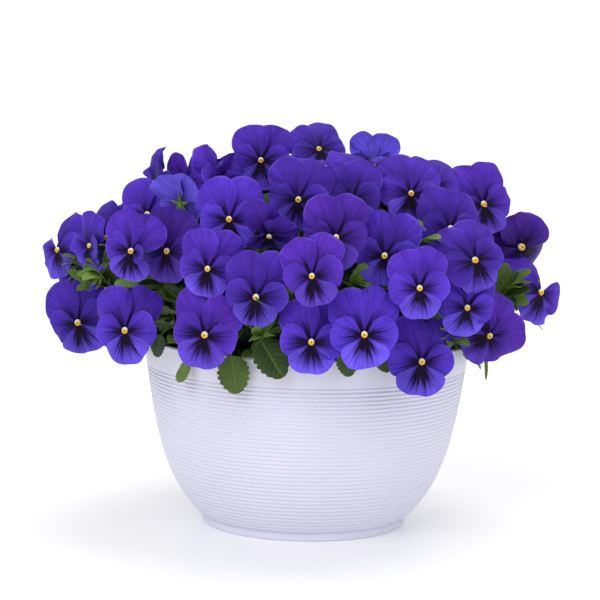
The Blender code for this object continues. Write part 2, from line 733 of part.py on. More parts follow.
def tube_arrays(path, radius, sides):
    """Closed tube round a path, with its sides kept level to one another."""
    tangents = np.gradient(path, axis=0)
    tangents /= np.linalg.norm(tangents, axis=1)[:, None]
    side = unit(np.cross(tangents[0], [0.31, 0.17, 0.93]))
    points = []
    for point, tangent in zip(path, tangents):
        side = unit(side - tangent * (side @ tangent))
        other = np.cross(tangent, side)
        for k in range(sides):
            turn = 2 * math.pi * k / sides
            points.append(point + radius * (side * math.cos(turn) + other * math.sin(turn)))
    faces = []
    for ring in range(len(path) - 1):
        for k in range(sides):
            a, b = ring * sides + k, ring * sides + (k + 1) % sides
            faces += [(a, b, b + sides), (a, b + sides, a + sides)]
    last = (len(path) - 1) * sides
    faces += [tuple(reversed(range(sides))), tuple(range(last, last + sides))]
    return np.array(points), faces


# Solids that stems and leaves have to miss: box corners and a search tree, in millimetres
Obstacle = namedtuple("Obstacle", "low high tree")


def obstacle(points, faces):
    return Obstacle(points.min(axis=0), points.max(axis=0), BVHTree.FromPolygons(points.tolist(), faces))


def meet(one, other):
    apart = (one.low > other.high).any() or (other.low > one.high).any()
    return not apart and bool(one.tree.overlap(other.tree))


def crosses(points, faces, obstacles):
    own = obstacle(points, faces)
    return any(meet(own, other) for other in obstacles)


def into_core(start, target):
    """Where a straight way to the target has just passed the core's face."""
    ways = start + np.linspace(0, 1, 200)[:, None] * (target - start)
    inside = np.flatnonzero(core_value(ways) < STEM_DEPTH)
    return ways[inside[0]] if len(inside) else target


def pot_room(points):
    """How far points stay above the soil, the rim and the outer wall."""
    flat = np.hypot(points[:, 0], points[:, 1])
    over_rim = flat > inner_radius(POT_TOP) - 6
    floor = np.where(over_rim, POT_TOP + 3, SOIL_TOP + 4)
    beyond = flat - outer_radius(POT_TOP) - 3
    return float(np.maximum(points[:, 2] - floor, beyond).min())


def stem_ways(start, axes):
    """Bezier corners of the ways that a stem may take, from the plainest on."""
    azimuth = math.atan2(start[1], start[0])
    for aside, rise in STEM_KNEES:
        for bend in STEM_BENDS:
            knee = start - axes[2] * bend + axes[0] * aside + axes[1] * rise
            for height in STEM_HEIGHTS:
                for swing in STEM_SWINGS:
                    turn = azimuth + math.radians(swing)
                    target = np.array([40 * math.cos(turn), 40 * math.sin(turn), height])
                    end = into_core(start, target)
                    yield start, knee, end + (knee - end) * 0.35 - [0, 0, 3], end


def plan_stem(start, axes, plant, crowd, own, obstacles):
    """The first way with room on all sides, or the roomiest that crosses no bloom."""
    ways = []
    for corners in stem_ways(start, axes):
        path = bezier(corners, 20)
        later = path[np.linalg.norm(path - start, axis=1) > STEM_LEAST]
        room = min(clearance(path, crowd) - STEM_CLEAR, pot_room(path))
        room = min(room, clearance(later, own) - STEM_CLEAR)
        inside = wedge_room(later, plant).min() - STEM_RADIUS - WEDGE_INSET
        room = min(room, inside * 2)
        if room > 0 and not stem_crosses(corners, obstacles):
            return corners
        ways.append((room, corners))
    for _, corners in sorted(ways, reverse=True, key=lambda way: way[0]):
        if not stem_crosses(corners, obstacles):
            return corners
    return None


def stem_crosses(corners, obstacles):
    """Tests the stem a little thicker than it is."""
    path = bezier(corners, STEM_RINGS)
    return crosses(*tube_arrays(path, STEM_RADIUS + 0.5, STEM_SIDES), obstacles)


def leaf_line(leaf):
    """Middle line: a stalk from the core to the blade's base, then the arched blade."""
    blade = leaf.tip - leaf.base
    lift = np.array([0, 0, 1.0]) * leaf.arch
    first = leaf.base + blade * 0.35 + lift
    stalk_end = leaf.base - (first - leaf.base) * 0.8
    rise = leaf.root + (leaf.base - leaf.root) * 0.4 + [0, 0, 4]
    stalk = bezier((leaf.root, rise, stalk_end, leaf.base), LEAF_BASE + 1)
    second = leaf.base + blade * 0.7 + lift
    arch = bezier((leaf.base, first, second, leaf.tip), LEAF_LAST - LEAF_BASE + 1)
    return np.concatenate([stalk, arch[1:]])


def leaf_frame(leaf):
    """Middle line, side vectors as long as half the blade's width, and normals."""
    line = leaf_line(leaf)
    tangents = np.gradient(line, axis=0)
    tangents /= np.linalg.norm(tangents, axis=1)[:, None]
    across = unit(np.cross(leaf.tip - leaf.root, [0, 0, 1.0]))
    side = across - tangents * (tangents @ across)[:, None]
    side /= np.linalg.norm(side, axis=1)[:, None]
    normal = np.cross(side, tangents)
    twist = leaf.roll * np.clip(np.arange(len(line)) / LEAF_BASE, 0, 1)[:, None]
    turned = side * np.cos(twist) + normal * np.sin(twist)
    normal = normal * np.cos(twist) - side * np.sin(twist)
    return line, turned * leaf.half, normal


def leaf_stations():
    """Place along the line and half width there, for the stalk and the scalloped blade."""
    stations = [(0, LEAF_STALK), (LEAF_BASE, LEAF_STALK)]
    for step, width in zip(LEAF_STEPS, LEAF_WIDTHS):
        stations.append((LEAF_BASE + round((LEAF_LAST - LEAF_BASE) * step), width))
    return stations


def leaf_points(leaf):
    """Points over a leaf's plate, for keeping it clear of its neighbours."""
    line, side, _ = leaf_frame(leaf)
    blade, sides = line[LEAF_BASE:LEAF_LAST:2], side[LEAF_BASE:LEAF_LAST:2]
    spread = [blade + sides * share for share in (-0.95, -0.5, 0, 0.5, 0.95)]
    return np.concatenate([line[::2]] + spread)


def leaf_arrays(leaf, thick):
    line, side, normal = leaf_frame(leaf)
    back, front = [], []
    for k, half in leaf_stations():
        reach = side[k] * half if k > LEAF_BASE else unit(side[k]) * half
        for hand in (-1, 1):
            point = line[k] + hand * reach
            back.append(point - normal[k] * thick / 2)
            front.append(point + normal[k] * thick / 2)
    back.append(line[-1] - normal[-1] * thick / 2)
    front.append(line[-1] + normal[-1] * thick / 2)
    count = len(back)
    tip = count - 1
    faces = [(0, 1, count + 1), (0, count + 1, count)]
    for a in range(0, tip - 2, 2):
        b, c, d = a + 1, a + 3, a + 2
        faces += [(a, c, b), (a, d, c)]
        faces += [(count + a, count + b, count + c), (count + a, count + c, count + d)]
        faces += [(b, c, count + c), (b, count + c, count + b)]
        faces += [(d, a, count + a), (d, count + a, count + d)]
    a, b = tip - 2, tip - 1
    faces += [(a, tip, b), (count + a, count + b, count + tip)]
    faces += [(b, tip, count + tip), (b, count + tip, count + b)]
    faces += [(tip, a, count + a), (tip, count + a, count + tip)]
    return np.array(back + front), faces


def leaf_mesh(leaf):
    mesh = new_mesh("leaf", *leaf_arrays(leaf, LEAF_THICK))
    fix = bmesh.new()
    fix.from_mesh(mesh)
    bmesh.ops.recalc_face_normals(fix, faces=fix.faces)
    fix.to_mesh(mesh)
    fix.free()
    return mesh


def on_cylinder(px, py, radius):
    """Where a pixel's ray first meets an upright cylinder round the pot's axis."""
    ray = view_ray(px, py)
    eye = np.array([0.0, -VIEW_DISTANCE, VIEW_HEIGHT])
    points = eye + np.arange(1700.0, 2300.0, 0.25)[:, None] * ray
    flat = np.hypot(points[:, 0], points[:, 1])
    inside = np.flatnonzero(flat < radius)
    return points[inside[0] if len(inside) else int(np.argmin(flat))]


def core_root(turn, height):
    """A point a little inside the core's side."""
    way = np.array([math.cos(turn), math.sin(turn), 0]) * CORE_RADIUS + [0, 0, height - CORE_MIDDLE]
    middle = np.array([0, 0, CORE_MIDDLE])
    return middle + way / core_value(middle + way) * LEAF_DEPTH


def seen_leaf(seen, extra):
    base = on_cylinder(seen.base_px, seen.base_py, seen.radius - 3 + extra)
    tip = on_cylinder(seen.tip_px, seen.tip_py, seen.radius + extra)
    root = core_root(math.atan2(base[1], base[0]), RIM_LEAF_ROOT)
    return Leaf(root, base, tip, seen.half, 0.0, 0.0)


def rim_leaf(turn, draw):
    """A leaf over the pot's rim."""
    out = np.array([math.cos(turn), math.sin(turn), 0])
    sway = np.array([-math.sin(turn), math.cos(turn), 0]) * draw.uniform(-9, 9)
    base = out * draw.uniform(*RIM_LEAF_RINGS) + [0, 0, draw.uniform(*RIM_LEAF_BASES)]
    tip = base + out * draw.uniform(3, 14) + sway - [0, 0, draw.uniform(*RIM_LEAF_DROPS)]
    half, roll = draw.uniform(*RIM_LEAF_HALVES), draw.uniform(-0.3, 0.3)
    return Leaf(core_root(turn, RIM_LEAF_ROOT), base, tip, half, roll, 1.0)


def gap_leaf(turn, draw):
    """A leaf that stands up from the core between the blooms."""
    rise = draw.uniform(*GAP_LEAF_RISES)
    out = np.array([math.cos(turn), math.sin(turn), 0])
    sway = np.array([-math.sin(turn), math.cos(turn), 0]) * draw.uniform(-14, 14)
    way = out * math.cos(rise) + [0, 0, math.sin(rise)]
    height = CORE_MIDDLE + CORE_UP * math.sin(rise) * 0.9
    root = core_root(turn, height) if rise < 0.7 else way * [70, 70, 0] + [0, 0, CORE_MIDDLE + 40]
    tip = way * [SHELL_RADIUS, SHELL_RADIUS, SHELL_UP] * draw.uniform(*GAP_LEAF_REACHES)
    tip = tip + sway + [0, 0, SHELL_MIDDLE]
    base = root + (tip - root) * draw.uniform(0.35, 0.5) + way * 5
    return Leaf(root, base, tip, draw.uniform(*GAP_LEAF_HALVES), draw.uniform(-0.6, 0.6), 4.0)


def leaf_fits(leaf, plant, obstacles, stems, kept):
    points = leaf_points(leaf)
    if wedge_room(points, plant).min() < WEDGE_INSET + LEAF_THICK:
        return False
    free = points[core_value(points) > 1.02]
    if len(free) < 8 or pot_room(free) < 0 or clearance(free, stems) < STEM_RADIUS + 1.5:
        return False
    if clearance(free, kept) < LEAF_CLEAR:
        return False
    return not crosses(*leaf_arrays(leaf, LEAF_THICK + 1.4), obstacles)


def plan_leaves(plant, draw, obstacles, stems):
    """The photo's rim leaves, then drawn ones that clear blooms, stems, pot and each other."""
    middle = math.radians(PLANT_TURN + plant * 360 / PLANT_COUNT)
    leaves = []
    points = np.zeros((1, 3))
    for seen in SEEN_LEAVES:
        for extra in (0, 3, -2, 6, 9, 12):
            leaf = seen_leaf(seen, extra)
            if plant_of(leaf.root) != plant:
                break
            if leaf_fits(leaf, plant, obstacles, stems, points):
                leaves.append(leaf)
                points = np.concatenate([points, leaf_points(leaf)])
                break
    for attempt in range(LEAF_TRIES):
        turn = middle + draw.uniform(-0.98, 0.98)
        rim = len(leaves) < RIM_LEAVES_PER_PLANT and attempt < LEAF_TRIES // 2
        leaf = rim_leaf(turn, draw) if rim else gap_leaf(turn, draw)
        if leaf_fits(leaf, plant, obstacles, stems, points):
            leaves.append(leaf)
            points = np.concatenate([points, leaf_points(leaf)])
        if len(leaves) == LEAVES_PER_PLANT:
            break
    return leaves


def group_obstacle(group, place):
    """A group's blooms as one obstacle."""
    points, faces = [], []
    for shift, axes, half in group.parts:
        own, triangles = bloom_arrays(half)
        count = len(points) * len(own)
        points.append(place + shift + own @ axes)
        faces += [tuple(k + count for k in triangle) for triangle in triangles]
    return obstacle(np.concatenate(points), faces)


def make_plants(groups, places, material, parent):
    rings = (0.25, 0.38, 0.51, 0.64, 0.76, 0.88, 1.0)
    points = [place + group_points(group, rings, 13) for group, place in zip(groups, places)]
    obstacles = [group_obstacle(group, place) for group, place in zip(groups, places)]
    pieces = {plant: [core_mesh(plant)] for plant in range(PLANT_COUNT)}
    stems = []
    for k, (group, place) in enumerate(zip(groups, places)):
        crowd = np.concatenate([other for n, other in enumerate(points) if n != k])
        for shift, axes, half in group.parts:
            start = place + shift + axes[2] * (HUB_BACK * half / NOMINAL_HALF - GAP)
            plant = plant_of(start)
            own = points[k][np.linalg.norm(points[k] - start, axis=1) > 3]
            corners = plan_stem(start, axes, plant, crowd, own, obstacles)
            if corners is None:
                raise RuntimeError(f"no way for a stem of group {k}")
            stems.append(bezier(corners, 16))
            tube = tube_arrays(bezier(corners, STEM_RINGS), STEM_RADIUS, STEM_SIDES)
            pieces[plant].append(new_mesh("stem", *tube))
    stems = np.concatenate(stems)
    draw = np.random.default_rng(LEAF_SEED)
    for plant in range(PLANT_COUNT):
        top = CORE_MIDDLE - CORE_DOWN + 18
        bottom = SOIL_TOP - COLLAR_DEPTH
        centre = collar_centre(plant)
        pieces[plant].append(prism_mesh("collar", centre, COLLAR_RADIUS, bottom, top, COLLAR_SIDES))
        leaves = plan_leaves(plant, draw, obstacles, stems)
        pieces[plant] += [leaf_mesh(leaf) for leaf in leaves]
        name = f"plant_{plant + 1}"
        add_object(name, fuse(name, pieces[plant]), material, parent)


def main():
    for item in list(bpy.data.objects):
        bpy.data.objects.remove(item)
    white = new_material("white plastic", (0.72, 0.71, 0.80), 0.4)
    earth = new_material("potting soil", (0.05, 0.035, 0.025), 0.95)
    green = new_material("leaf green", (0.06, 0.12, 0.02), 0.55)
    violet = new_material("violet petal", (0.13, 0.06, 0.55), 0.6)
    planter = bpy.data.objects.new("planter", None)
    bpy.context.collection.objects.link(planter)
    draw = np.random.default_rng(LAYOUT_SEED)
    seen = seen_groups()
    groups = seen + row_groups(seen, draw)
    places = settle(groups, part_groups(groups))
    make_pot(white, planter)
    make_soil(earth, planter)
    make_blooms(groups, places, violet, planter)
    make_plants(groups, places, green, planter)


main()
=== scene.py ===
"""Violas in a ribbed bowl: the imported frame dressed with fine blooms, leaves and a ribbed wall.

Shapes are worked out in millimetres in the frame's own axes and become metres in the meshes.
"""

import math
from collections import namedtuple

import bpy
import numpy as np
from mathutils import Matrix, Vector
from mathutils.bvhtree import BVHTree


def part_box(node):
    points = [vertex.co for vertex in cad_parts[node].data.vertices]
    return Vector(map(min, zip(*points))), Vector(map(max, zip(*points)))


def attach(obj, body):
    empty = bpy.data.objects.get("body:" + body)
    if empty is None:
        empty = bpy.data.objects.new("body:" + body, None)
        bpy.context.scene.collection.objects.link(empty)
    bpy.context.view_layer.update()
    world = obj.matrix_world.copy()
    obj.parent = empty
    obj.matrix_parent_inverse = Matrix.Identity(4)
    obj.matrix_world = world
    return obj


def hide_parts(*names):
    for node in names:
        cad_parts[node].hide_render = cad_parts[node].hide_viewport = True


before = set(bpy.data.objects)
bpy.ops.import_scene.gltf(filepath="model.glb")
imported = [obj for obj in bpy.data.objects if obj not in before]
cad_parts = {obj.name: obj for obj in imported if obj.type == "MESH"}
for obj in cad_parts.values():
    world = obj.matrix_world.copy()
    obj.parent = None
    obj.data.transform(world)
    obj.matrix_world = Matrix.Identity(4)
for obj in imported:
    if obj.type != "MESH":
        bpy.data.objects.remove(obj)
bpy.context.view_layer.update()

bl_info = {
    "name": "Bowl of violas",
    "version": (1, 0, 0),
    "blender": (4, 5, 0),
    "location": "View3D > Sidebar > Violas",
    "description": "Makes the ribbed bowl, its violas and leaves, and a plain studio",
    "category": "Add Mesh",
}

MM = 0.001

# Pot, as the frame's source gives it
POT_TOP = 150.0
POT_WALL = 3.0
POT_FLOOR = 5.0
POT_FOOT_RADIUS = 81.5
POT_FOOT_HEIGHT = 6.0
POT_LIP_ROUND = 1.5
DRAIN_RADIUS = 5.0
DRAIN_RING = 52.0
DRAIN_COUNT = 6
SOIL_TOP = 131.0

# Room that stems and stalks leave: inside, outside and over the rim, and over the soil
RIM_INSIDE = 8.0
RIM_OUTSIDE = 3.0
RIM_CLEAR = 3.5
SOIL_CLEAR = 3.0

# The bowl's fine shape: rounded foot, height of the lowest groove, each groove's bell as a share
# of the way to the next, heights of the inner wall's points, its facets and, in degrees, the
# least turn between faces that shows as an edge
FOOT_ROUND = 1.6
GROOVE_BOTTOM = 7.2
GROOVE_BELL = 0.22
INNER_HEIGHTS = (140.0, 120, 100, 80, 62, 48, 34, 24, 17, 11, 8)
POT_SIDES = 144
POT_SHARP = 40

# Leafy core and the dome on which the blooms' eyes lie
PLANT_COUNT = 3
PLANT_TURN = 90.0
COLLAR_RADIUS = 4.5
COLLAR_RING = 58.0
COLLAR_HEIGHTS = (SOIL_TOP - 22, SOIL_TOP - 5, SOIL_TOP + 12, 160)
CORE_MIDDLE = 188.0
CORE_RADIUS = 122.0
CORE_UP = 62.0
CORE_DOWN = 50.0
SHELL_MIDDLE = 205.0
SHELL_RADIUS = 178.0
SHELL_UP = 88.0
SHELL_DOWN = 78.0
TIER_STEP = 9.0

# Where the photo was taken from, which places the blooms that it shows
VIEW_DISTANCE = 2000.0
VIEW_HEIGHT = 448.0
VIEW_PITCH = math.radians(7.68)
VIEW_ROLL = math.radians(1.17)
VIEW_FOCAL = 2528.0
VIEW_MIDDLE_X = 307.7
VIEW_MIDDLE_Y = 300.0
VIEW_FRAME = 600.0
VIEW_NEAR = 1700.0
VIEW_FAR = 2300.0

# Turn from one evenly spread point to the next, and a way that no tube runs along, from which
# the corners round the tubes are counted
GOLDEN_TURN = math.pi * (3 - math.sqrt(5))
ASKEW = (0.31, 0.17, 0.93)

# Studio
FLOOR_HALF = 40000.0
LIGHT_SPREAD = math.radians(35)

# A bloom seen in the photo: the pixel of its eye, half its width in millimetres, the way it
# faces (turn to the right, nod down, roll clockwise, in degrees) and its step out of the dome
Seen = namedtuple("Seen", "px py half turn nod roll tier")
SEEN_BLOOMS = (
    Seen(px=134, py=252, half=23, turn=-12, nod=0, roll=8, tier=1.0),
    Seen(px=208, py=267, half=22.5, turn=-6, nod=0, roll=8, tier=1.0),
    Seen(px=78, py=323, half=26, turn=-14, nod=5, roll=-20, tier=0.5),
    Seen(px=125, py=331, half=26, turn=-22, nod=0, roll=-8, tier=1.0),
    Seen(px=204, py=335, half=26, turn=-6, nod=5, roll=12, tier=0.6),
    Seen(px=264, py=297, half=24, turn=-4, nod=18, roll=4, tier=0.0),
    Seen(px=230, py=221, half=24, turn=-6, nod=-5, roll=-4, tier=0.3),
    Seen(px=265, py=166, half=23, turn=-4, nod=-8, roll=0, tier=0.6),
    Seen(px=93, py=246, half=21, turn=-52, nod=0, roll=0, tier=0.3),
    Seen(px=71, py=272, half=23, turn=-40, nod=-5, roll=-10, tier=-0.8),
    Seen(px=148, py=214, half=23, turn=-18, nod=-10, roll=-6, tier=0.0),
    Seen(px=298, py=200, half=24, turn=0, nod=-4, roll=6, tier=0.6),
    Seen(px=318, py=150, half=23, turn=6, nod=-30, roll=-16, tier=-0.4),
    Seen(px=411, py=194, half=24, turn=13, nod=-13, roll=10, tier=0.5),
    Seen(px=451, py=229, half=24, turn=15, nod=-7, roll=4, tier=0.2),
    Seen(px=331, py=242, half=24, turn=4, nod=6, roll=0, tier=0.2),
    Seen(px=385, py=257, half=24, turn=-12, nod=0, roll=4, tier=0.4),
    Seen(px=306, py=275, half=22.5, turn=-14, nod=4, roll=-12, tier=0.4),
    Seen(px=415, py=289, half=23, turn=6, nod=0, roll=-3, tier=1.0),
    Seen(px=475, py=263, half=26, turn=14, nod=-20, roll=-24, tier=1.4),
    Seen(px=466, py=307, half=23, turn=14, nod=8, roll=6, tier=0.4),
    Seen(px=368, py=334, half=25.5, turn=4, nod=0, roll=-2, tier=1.2),
    Seen(px=310, py=342, half=24.5, turn=-2, nod=0, roll=0, tier=0.4),
    Seen(px=423, py=361, half=26, turn=8, nod=2, roll=2, tier=1.0),
    Seen(px=489, py=336, half=24, turn=16, nod=4, roll=62, tier=-0.2),
    Seen(px=526, py=245, half=27, turn=26, nod=4, roll=-58, tier=0.4),
    Seen(px=352, py=199, half=24, turn=4, nod=-12, roll=-4, tier=-0.2),
    Seen(px=160, py=185, half=22, turn=-66, nod=-6, roll=0, tier=0.0),
    Seen(px=188, py=182, half=22, turn=-52, nod=-6, roll=-8, tier=-0.4),
    Seen(px=214, py=181, half=22, turn=62, nod=-8, roll=10, tier=-0.4),
    Seen(px=186, py=204, half=20, turn=150, nod=-14, roll=0, tier=0.9),
    Seen(px=378, py=160, half=24, turn=172, nod=-24, roll=0, tier=-0.5),
    Seen(px=479, py=204, half=26, turn=24, nod=-12, roll=-8, tier=-0.6),
    Seen(px=535, py=294, half=25, turn=58, nod=4, roll=10, tier=0.0),
    Seen(px=271, py=236, half=22, turn=-8, nod=48, roll=10, tier=0.2),
    Seen(px=63, py=251, half=21, turn=-66, nod=0, roll=0, tier=-0.2),
    Seen(px=101, py=238, half=23, turn=-34, nod=-10, roll=0, tier=-0.8),
    Seen(px=163, py=250, half=24, turn=-24, nod=0, roll=0, tier=-0.9),
    Seen(px=433, py=189, half=22, turn=14, nod=-34, roll=0, tier=-0.8),
)

# Rows of two or three blooms that close the unseen top, sides and back
ROW_SIZES = (3, 3, 3, 3, 3, 2, 2, 2, 2, 2, 2, 2, 2, 2, 2, 2)
ROW_PITCH = 40.0
ROW_TURN = 15.0
ROW_SINK = ROW_PITCH / 2 * math.tan(math.radians(ROW_TURN))
ROW_MOVES = (0, 0.8, -0.8, 1.6, -1.6, 2.4, -2.4, 3.2, -3.2, 4.0, -4.0, 5.0, -5.0)
LEAST_CROSSINGS = 8
ROW_LOWEST = 160.0
ROW_TILT = 9.0
ROW_LIFT = 2.5
ROW_HALVES = (24.5, 27.5)
UNDER_NOD = 6.0
SPOT_COUNT = 900
FACES_UP = 0.72
COVER_RADIUS = 26.0
SEEN_FROM_FRONT = 0.32
LAYOUT_SEED = 11

# Bloom, for a half width of 25: its petals' plates and the hub that they grow from
Petal = namedtuple("Petal", "angle long wide level lean points")
PETALS = (
    Petal(angle=61, long=34.0, wide=34.0, level=0, lean=-0.17, points=5),
    Petal(angle=119, long=34.0, wide=34.0, level=1, lean=-0.11, points=5),
    Petal(angle=178, long=25.5, wide=27.0, level=2, lean=-0.01, points=4),
    Petal(angle=270, long=25.5, wide=40.0, level=3, lean=0.08, points=5),
    Petal(angle=362, long=25.5, wide=27.0, level=2, lean=-0.01, points=4),
)
HUB_CORNERS = (30, 90, 150, 215, 325)
HUB_RADIUS = 3.2
HUB_BACK = -5.5
HUB_FRONT = 2.6
HUB_LEVEL = -2.0
PETAL_THICK = 0.8
PETAL_CUP = 4.0
CUP_REACH = 28.0
WIDEST = 0.58
ROOT_TAPER = 0.75
OUTLINE_SWEEP = math.radians(133)
NOMINAL_HALF = 25.0

# What the fine petals change or add: kind (0 upper, 0.5 side, 1 lip), length and width as
# shares of the plain petal's, where it is widest, how far the dark blotch's rays reach, the
# angle to each side of the petal's axis that they fill, and the notch of the tip
Dress = namedtuple("Dress", "kind long wide widest reach fan notch")
DRESSES = (
    Dress(kind=0.0, long=1.03, wide=0.97, widest=0.57, reach=14.5, fan=0.52, notch=0.02),
    Dress(kind=0.0, long=1.03, wide=0.97, widest=0.57, reach=14.5, fan=0.52, notch=0.02),
    Dress(kind=0.5, long=0.96, wide=0.98, widest=0.56, reach=13.0, fan=0.72, notch=0.0),
    Dress(kind=1.0, long=0.99, wide=0.88, widest=0.51, reach=18.0, fan=0.98, notch=0.05),
    Dress(kind=0.5, long=0.96, wide=0.98, widest=0.56, reach=13.0, fan=0.72, notch=0.0),
)
# Petals that the photo shows bent: bloom, place in PETALS, and the extra lean, forward if over 0
BENDS = {
    ("bloom_01", 4): 1.5,
    ("bloom_05", 0): 0.25,
    ("bloom_09", 2): 0.7,
    ("bloom_09", 4): 0.6,
    ("bloom_09", 0): 0.35,
    ("bloom_11", 3): 0.5,
    ("bloom_20", 3): -0.5,
    ("bloom_26", 0): 0.9,
    ("bloom_26", 3): -0.6,
    ("bloom_28", 0): 0.7,
    ("bloom_28", 2): -1.2,
    ("bloom_29", 1): 0.6,
    ("bloom_30", 0): 0.9,
    ("bloom_30", 4): 1.0,
    ("bloom_34", 0): -0.8,
    ("bloom_34", 1): -0.8,
    ("bloom_32", 0): 0.7,
    ("bloom_32", 1): 0.7,
    ("bloom_35", 2): 0.9,
    ("bloom_35", 0): 0.5,
    ("bloom_36", 1): -0.7,
}
# Blooms at the outline whose fine petals stand a little more open than the frame's plain ones
OPENED = {
    "bloom_26": {"turn": 18, "nod": 4, "roll": -54, "grown": 1.15},
    "bloom_34": {"turn": 40, "nod": 0, "roll": 24, "grown": 1.05},
    "bloom_36": {"turn": -46, "nod": -4, "roll": -14, "grown": 1.08},
    "bloom_28": {"turn": -56, "nod": -6, "roll": 0, "grown": 1.0},
}
# Blooms that stand out in the photo: tone, lighter if over 0, and share of purple
SHOWN_TONES_AND_LIGHT = {
    "bloom_31": {"tone": 0.9, "hue": 0.1},
    # bloom_32's high tone is painted light: it lightens a bloom that faces away into shade as if it
    # were lit from the front.
    "bloom_32": {"tone": 3.6, "hue": 0.6},
    "bloom_35": {"tone": -1.0, "hue": 0.5},
    "bloom_38": {"tone": -1.0, "hue": 0.9},
    "bloom_22": {"tone": 0.9, "hue": 0.0},
    "bloom_23": {"tone": 0.7, "hue": 0.1},
    "bloom_02": {"tone": 0.6, "hue": 0.4},
    "bloom_16": {"tone": -0.2, "hue": 0.9},
    "bloom_25": {"tone": 0.2, "hue": 0.9},
    "bloom_06": {"tone": -0.6, "hue": 0.2},
}
# Waves of the fine petals' outline and of their ruffle: count over the sweep, and size
EDGE_WAVES = ((2, 0.026), (3, 0.026), (5, 0.016), (9, 0.006))
RUFFLE_WAVES = ((2, 0.7), (4, 0.6), (7, 0.35))
# Half width of the notch at a petal's tip, as an angle, and the place and half width of its root
NOTCH_TURN = 0.28
PETAL_ROOT = 1.6
ROOT_HALF = 0.35
# Rings and spokes of a petal's grid, where the photo shows the bloom and elsewhere
SEEN_PETAL = (13, 39)
PLAIN_PETAL = (9, 27)
POLAR_REACH = 40.0
BLOOM_SEED = 21
EYE_RADIUS = 2.3
EYE_HEIGHT = 0.9
TUFT_HEIGHT = 0.8

# Stems and sepals
STEM_SHARES = np.linspace(0, 1, 16)
SEPAL_COUNT = 5
SEPAL_LONG = 11.0
SEPAL_WIDE = 1.7
SEPAL_BACK = 4.6

# Leaves that the photo shows: pixels of the blade's base and tip, half its width in millimetres,
# the radius round the pot's axis at which it hangs, and how young it is, from 0 to 1. The first
# seven hang over the rim, the next two are narrow ones under the right side, and the last three
# fill the pockets of the left side
SeenLeaf = namedtuple("SeenLeaf", "base_px base_py tip_px tip_py half radius young")
SEEN_LEAVES = (
    SeenLeaf(base_px=231, base_py=356, tip_px=237, tip_py=394, half=12.5, radius=138, young=0.46),
    SeenLeaf(base_px=260, base_py=340, tip_px=283, tip_py=378, half=13.0, radius=142, young=0.06),
    SeenLeaf(base_px=190, base_py=364, tip_px=177, tip_py=381, half=8.0, radius=139, young=0.7),
    SeenLeaf(base_px=161, base_py=335, tip_px=156, tip_py=357, half=10.0, radius=146, young=0.0),
    SeenLeaf(base_px=345, base_py=349, tip_px=349, tip_py=377, half=8.5, radius=138, young=0.2),
    SeenLeaf(base_px=379, base_py=352, tip_px=389, tip_py=372, half=8.0, radius=137, young=0.5),
    SeenLeaf(base_px=460, base_py=328, tip_px=481, tip_py=368, half=10.0, radius=152, young=0.2),
    SeenLeaf(base_px=486, base_py=352, tip_px=486, tip_py=380, half=2.2, radius=168, young=0.3),
    SeenLeaf(base_px=533, base_py=320, tip_px=543, tip_py=330, half=2.0, radius=180, young=0.5),
    SeenLeaf(base_px=113, base_py=300, tip_px=101, tip_py=270, half=10.0, radius=168, young=0.0),
    SeenLeaf(base_px=172, base_py=326, tip_px=162, tip_py=288, half=11.0, radius=132, young=0.0),
    SeenLeaf(base_px=160, base_py=330, tip_px=168, tip_py=296, half=9.0, radius=128, young=0.1),
)

# Tufts of small bright leaves in the gaps, by pixel, depth under the dome and leaf count
Sprig = namedtuple("Sprig", "px py depth count")
SPRIGS = (
    Sprig(px=94, py=286, depth=24, count=5),
    Sprig(px=104, py=274, depth=22, count=7),
    Sprig(px=110, py=288, depth=34, count=5),
    Sprig(px=106, py=280, depth=44, count=11),
    Sprig(px=92, py=264, depth=40, count=7),
    Sprig(px=172, py=314, depth=62, count=5),
    Sprig(px=508, py=287, depth=56, count=6),
    Sprig(px=502, py=296, depth=62, count=5),
    Sprig(px=262, py=336, depth=26, count=6),
    Sprig(px=352, py=286, depth=26, count=6),
    Sprig(px=344, py=306, depth=28, count=5),
    Sprig(px=450, py=337, depth=22, count=4),
    Sprig(px=420, py=240, depth=12, count=3),
)

# Buds that the photo shows, by pixel and depth under the dome. More stand where the dome faces
# back by more than BUD_BACK and has room for them
Bud = namedtuple("Bud", "px py depth")
BUDS = (
    Bud(px=106, py=266, depth=10),
    Bud(px=99, py=280, depth=9),
    Bud(px=419, py=229, depth=2),
    Bud(px=453, py=334, depth=14),
    Bud(px=179, py=174, depth=6),
    Bud(px=260, py=224, depth=4),
)
BUD_LONG = 11.0
BUD_HALF = 2.6
BUD_ROOM = 31.0
BUD_BACK = 0.2

LEAF_SEED = 5

# Where leaves grow from, as shares of the core's depth, and the height of those at the rim
LEAF_ROOT = 0.86
RIM_ROOT = 0.8
RIM_ROOT_HEIGHT = 172

BLADE_THICK = 0.44

# Steps along a blade, points across it and its teeth, finer where the photo shows the leaf
SEEN_GRID = (85, 11, 7)
RIM_GRID = (37, 7, 6)
SPRIG_GRID = (17, 5, 4)
HIDDEN_GRID = (11, 3, 0)


def unit(vector):
    return vector / np.linalg.norm(vector)


def units(vectors):
    """Many vectors in one array, each scaled to length 1."""
    return vectors / np.linalg.norm(vectors, axis=-1)[..., None]


def points_of(*coordinates):
    """One array of points from the arrays of their coordinates, stretched to one shape."""
    return np.stack(np.broadcast_arrays(*coordinates), axis=-1)


def circle_turns(count):
    """Angles spread evenly round a full turn."""
    return np.arange(count) * 2 * math.pi / count


def turned_by(angle, along, across):
    """Plane coordinates of points given along and across a way that stands at an angle."""
    c, s = math.cos(angle), math.sin(angle)
    return along * c - across * s, along * s + across * c


def outward(turn):
    """Level direction away from the pot's axis."""
    return np.array([math.cos(turn), math.sin(turn), 0])


def pot_radius(height):
    """Outer radius of the wall: nearly straight above, rounding in to the foot."""
    return 114.3 + 0.1113 * height - 38.7 * np.exp(-height / 33.8)


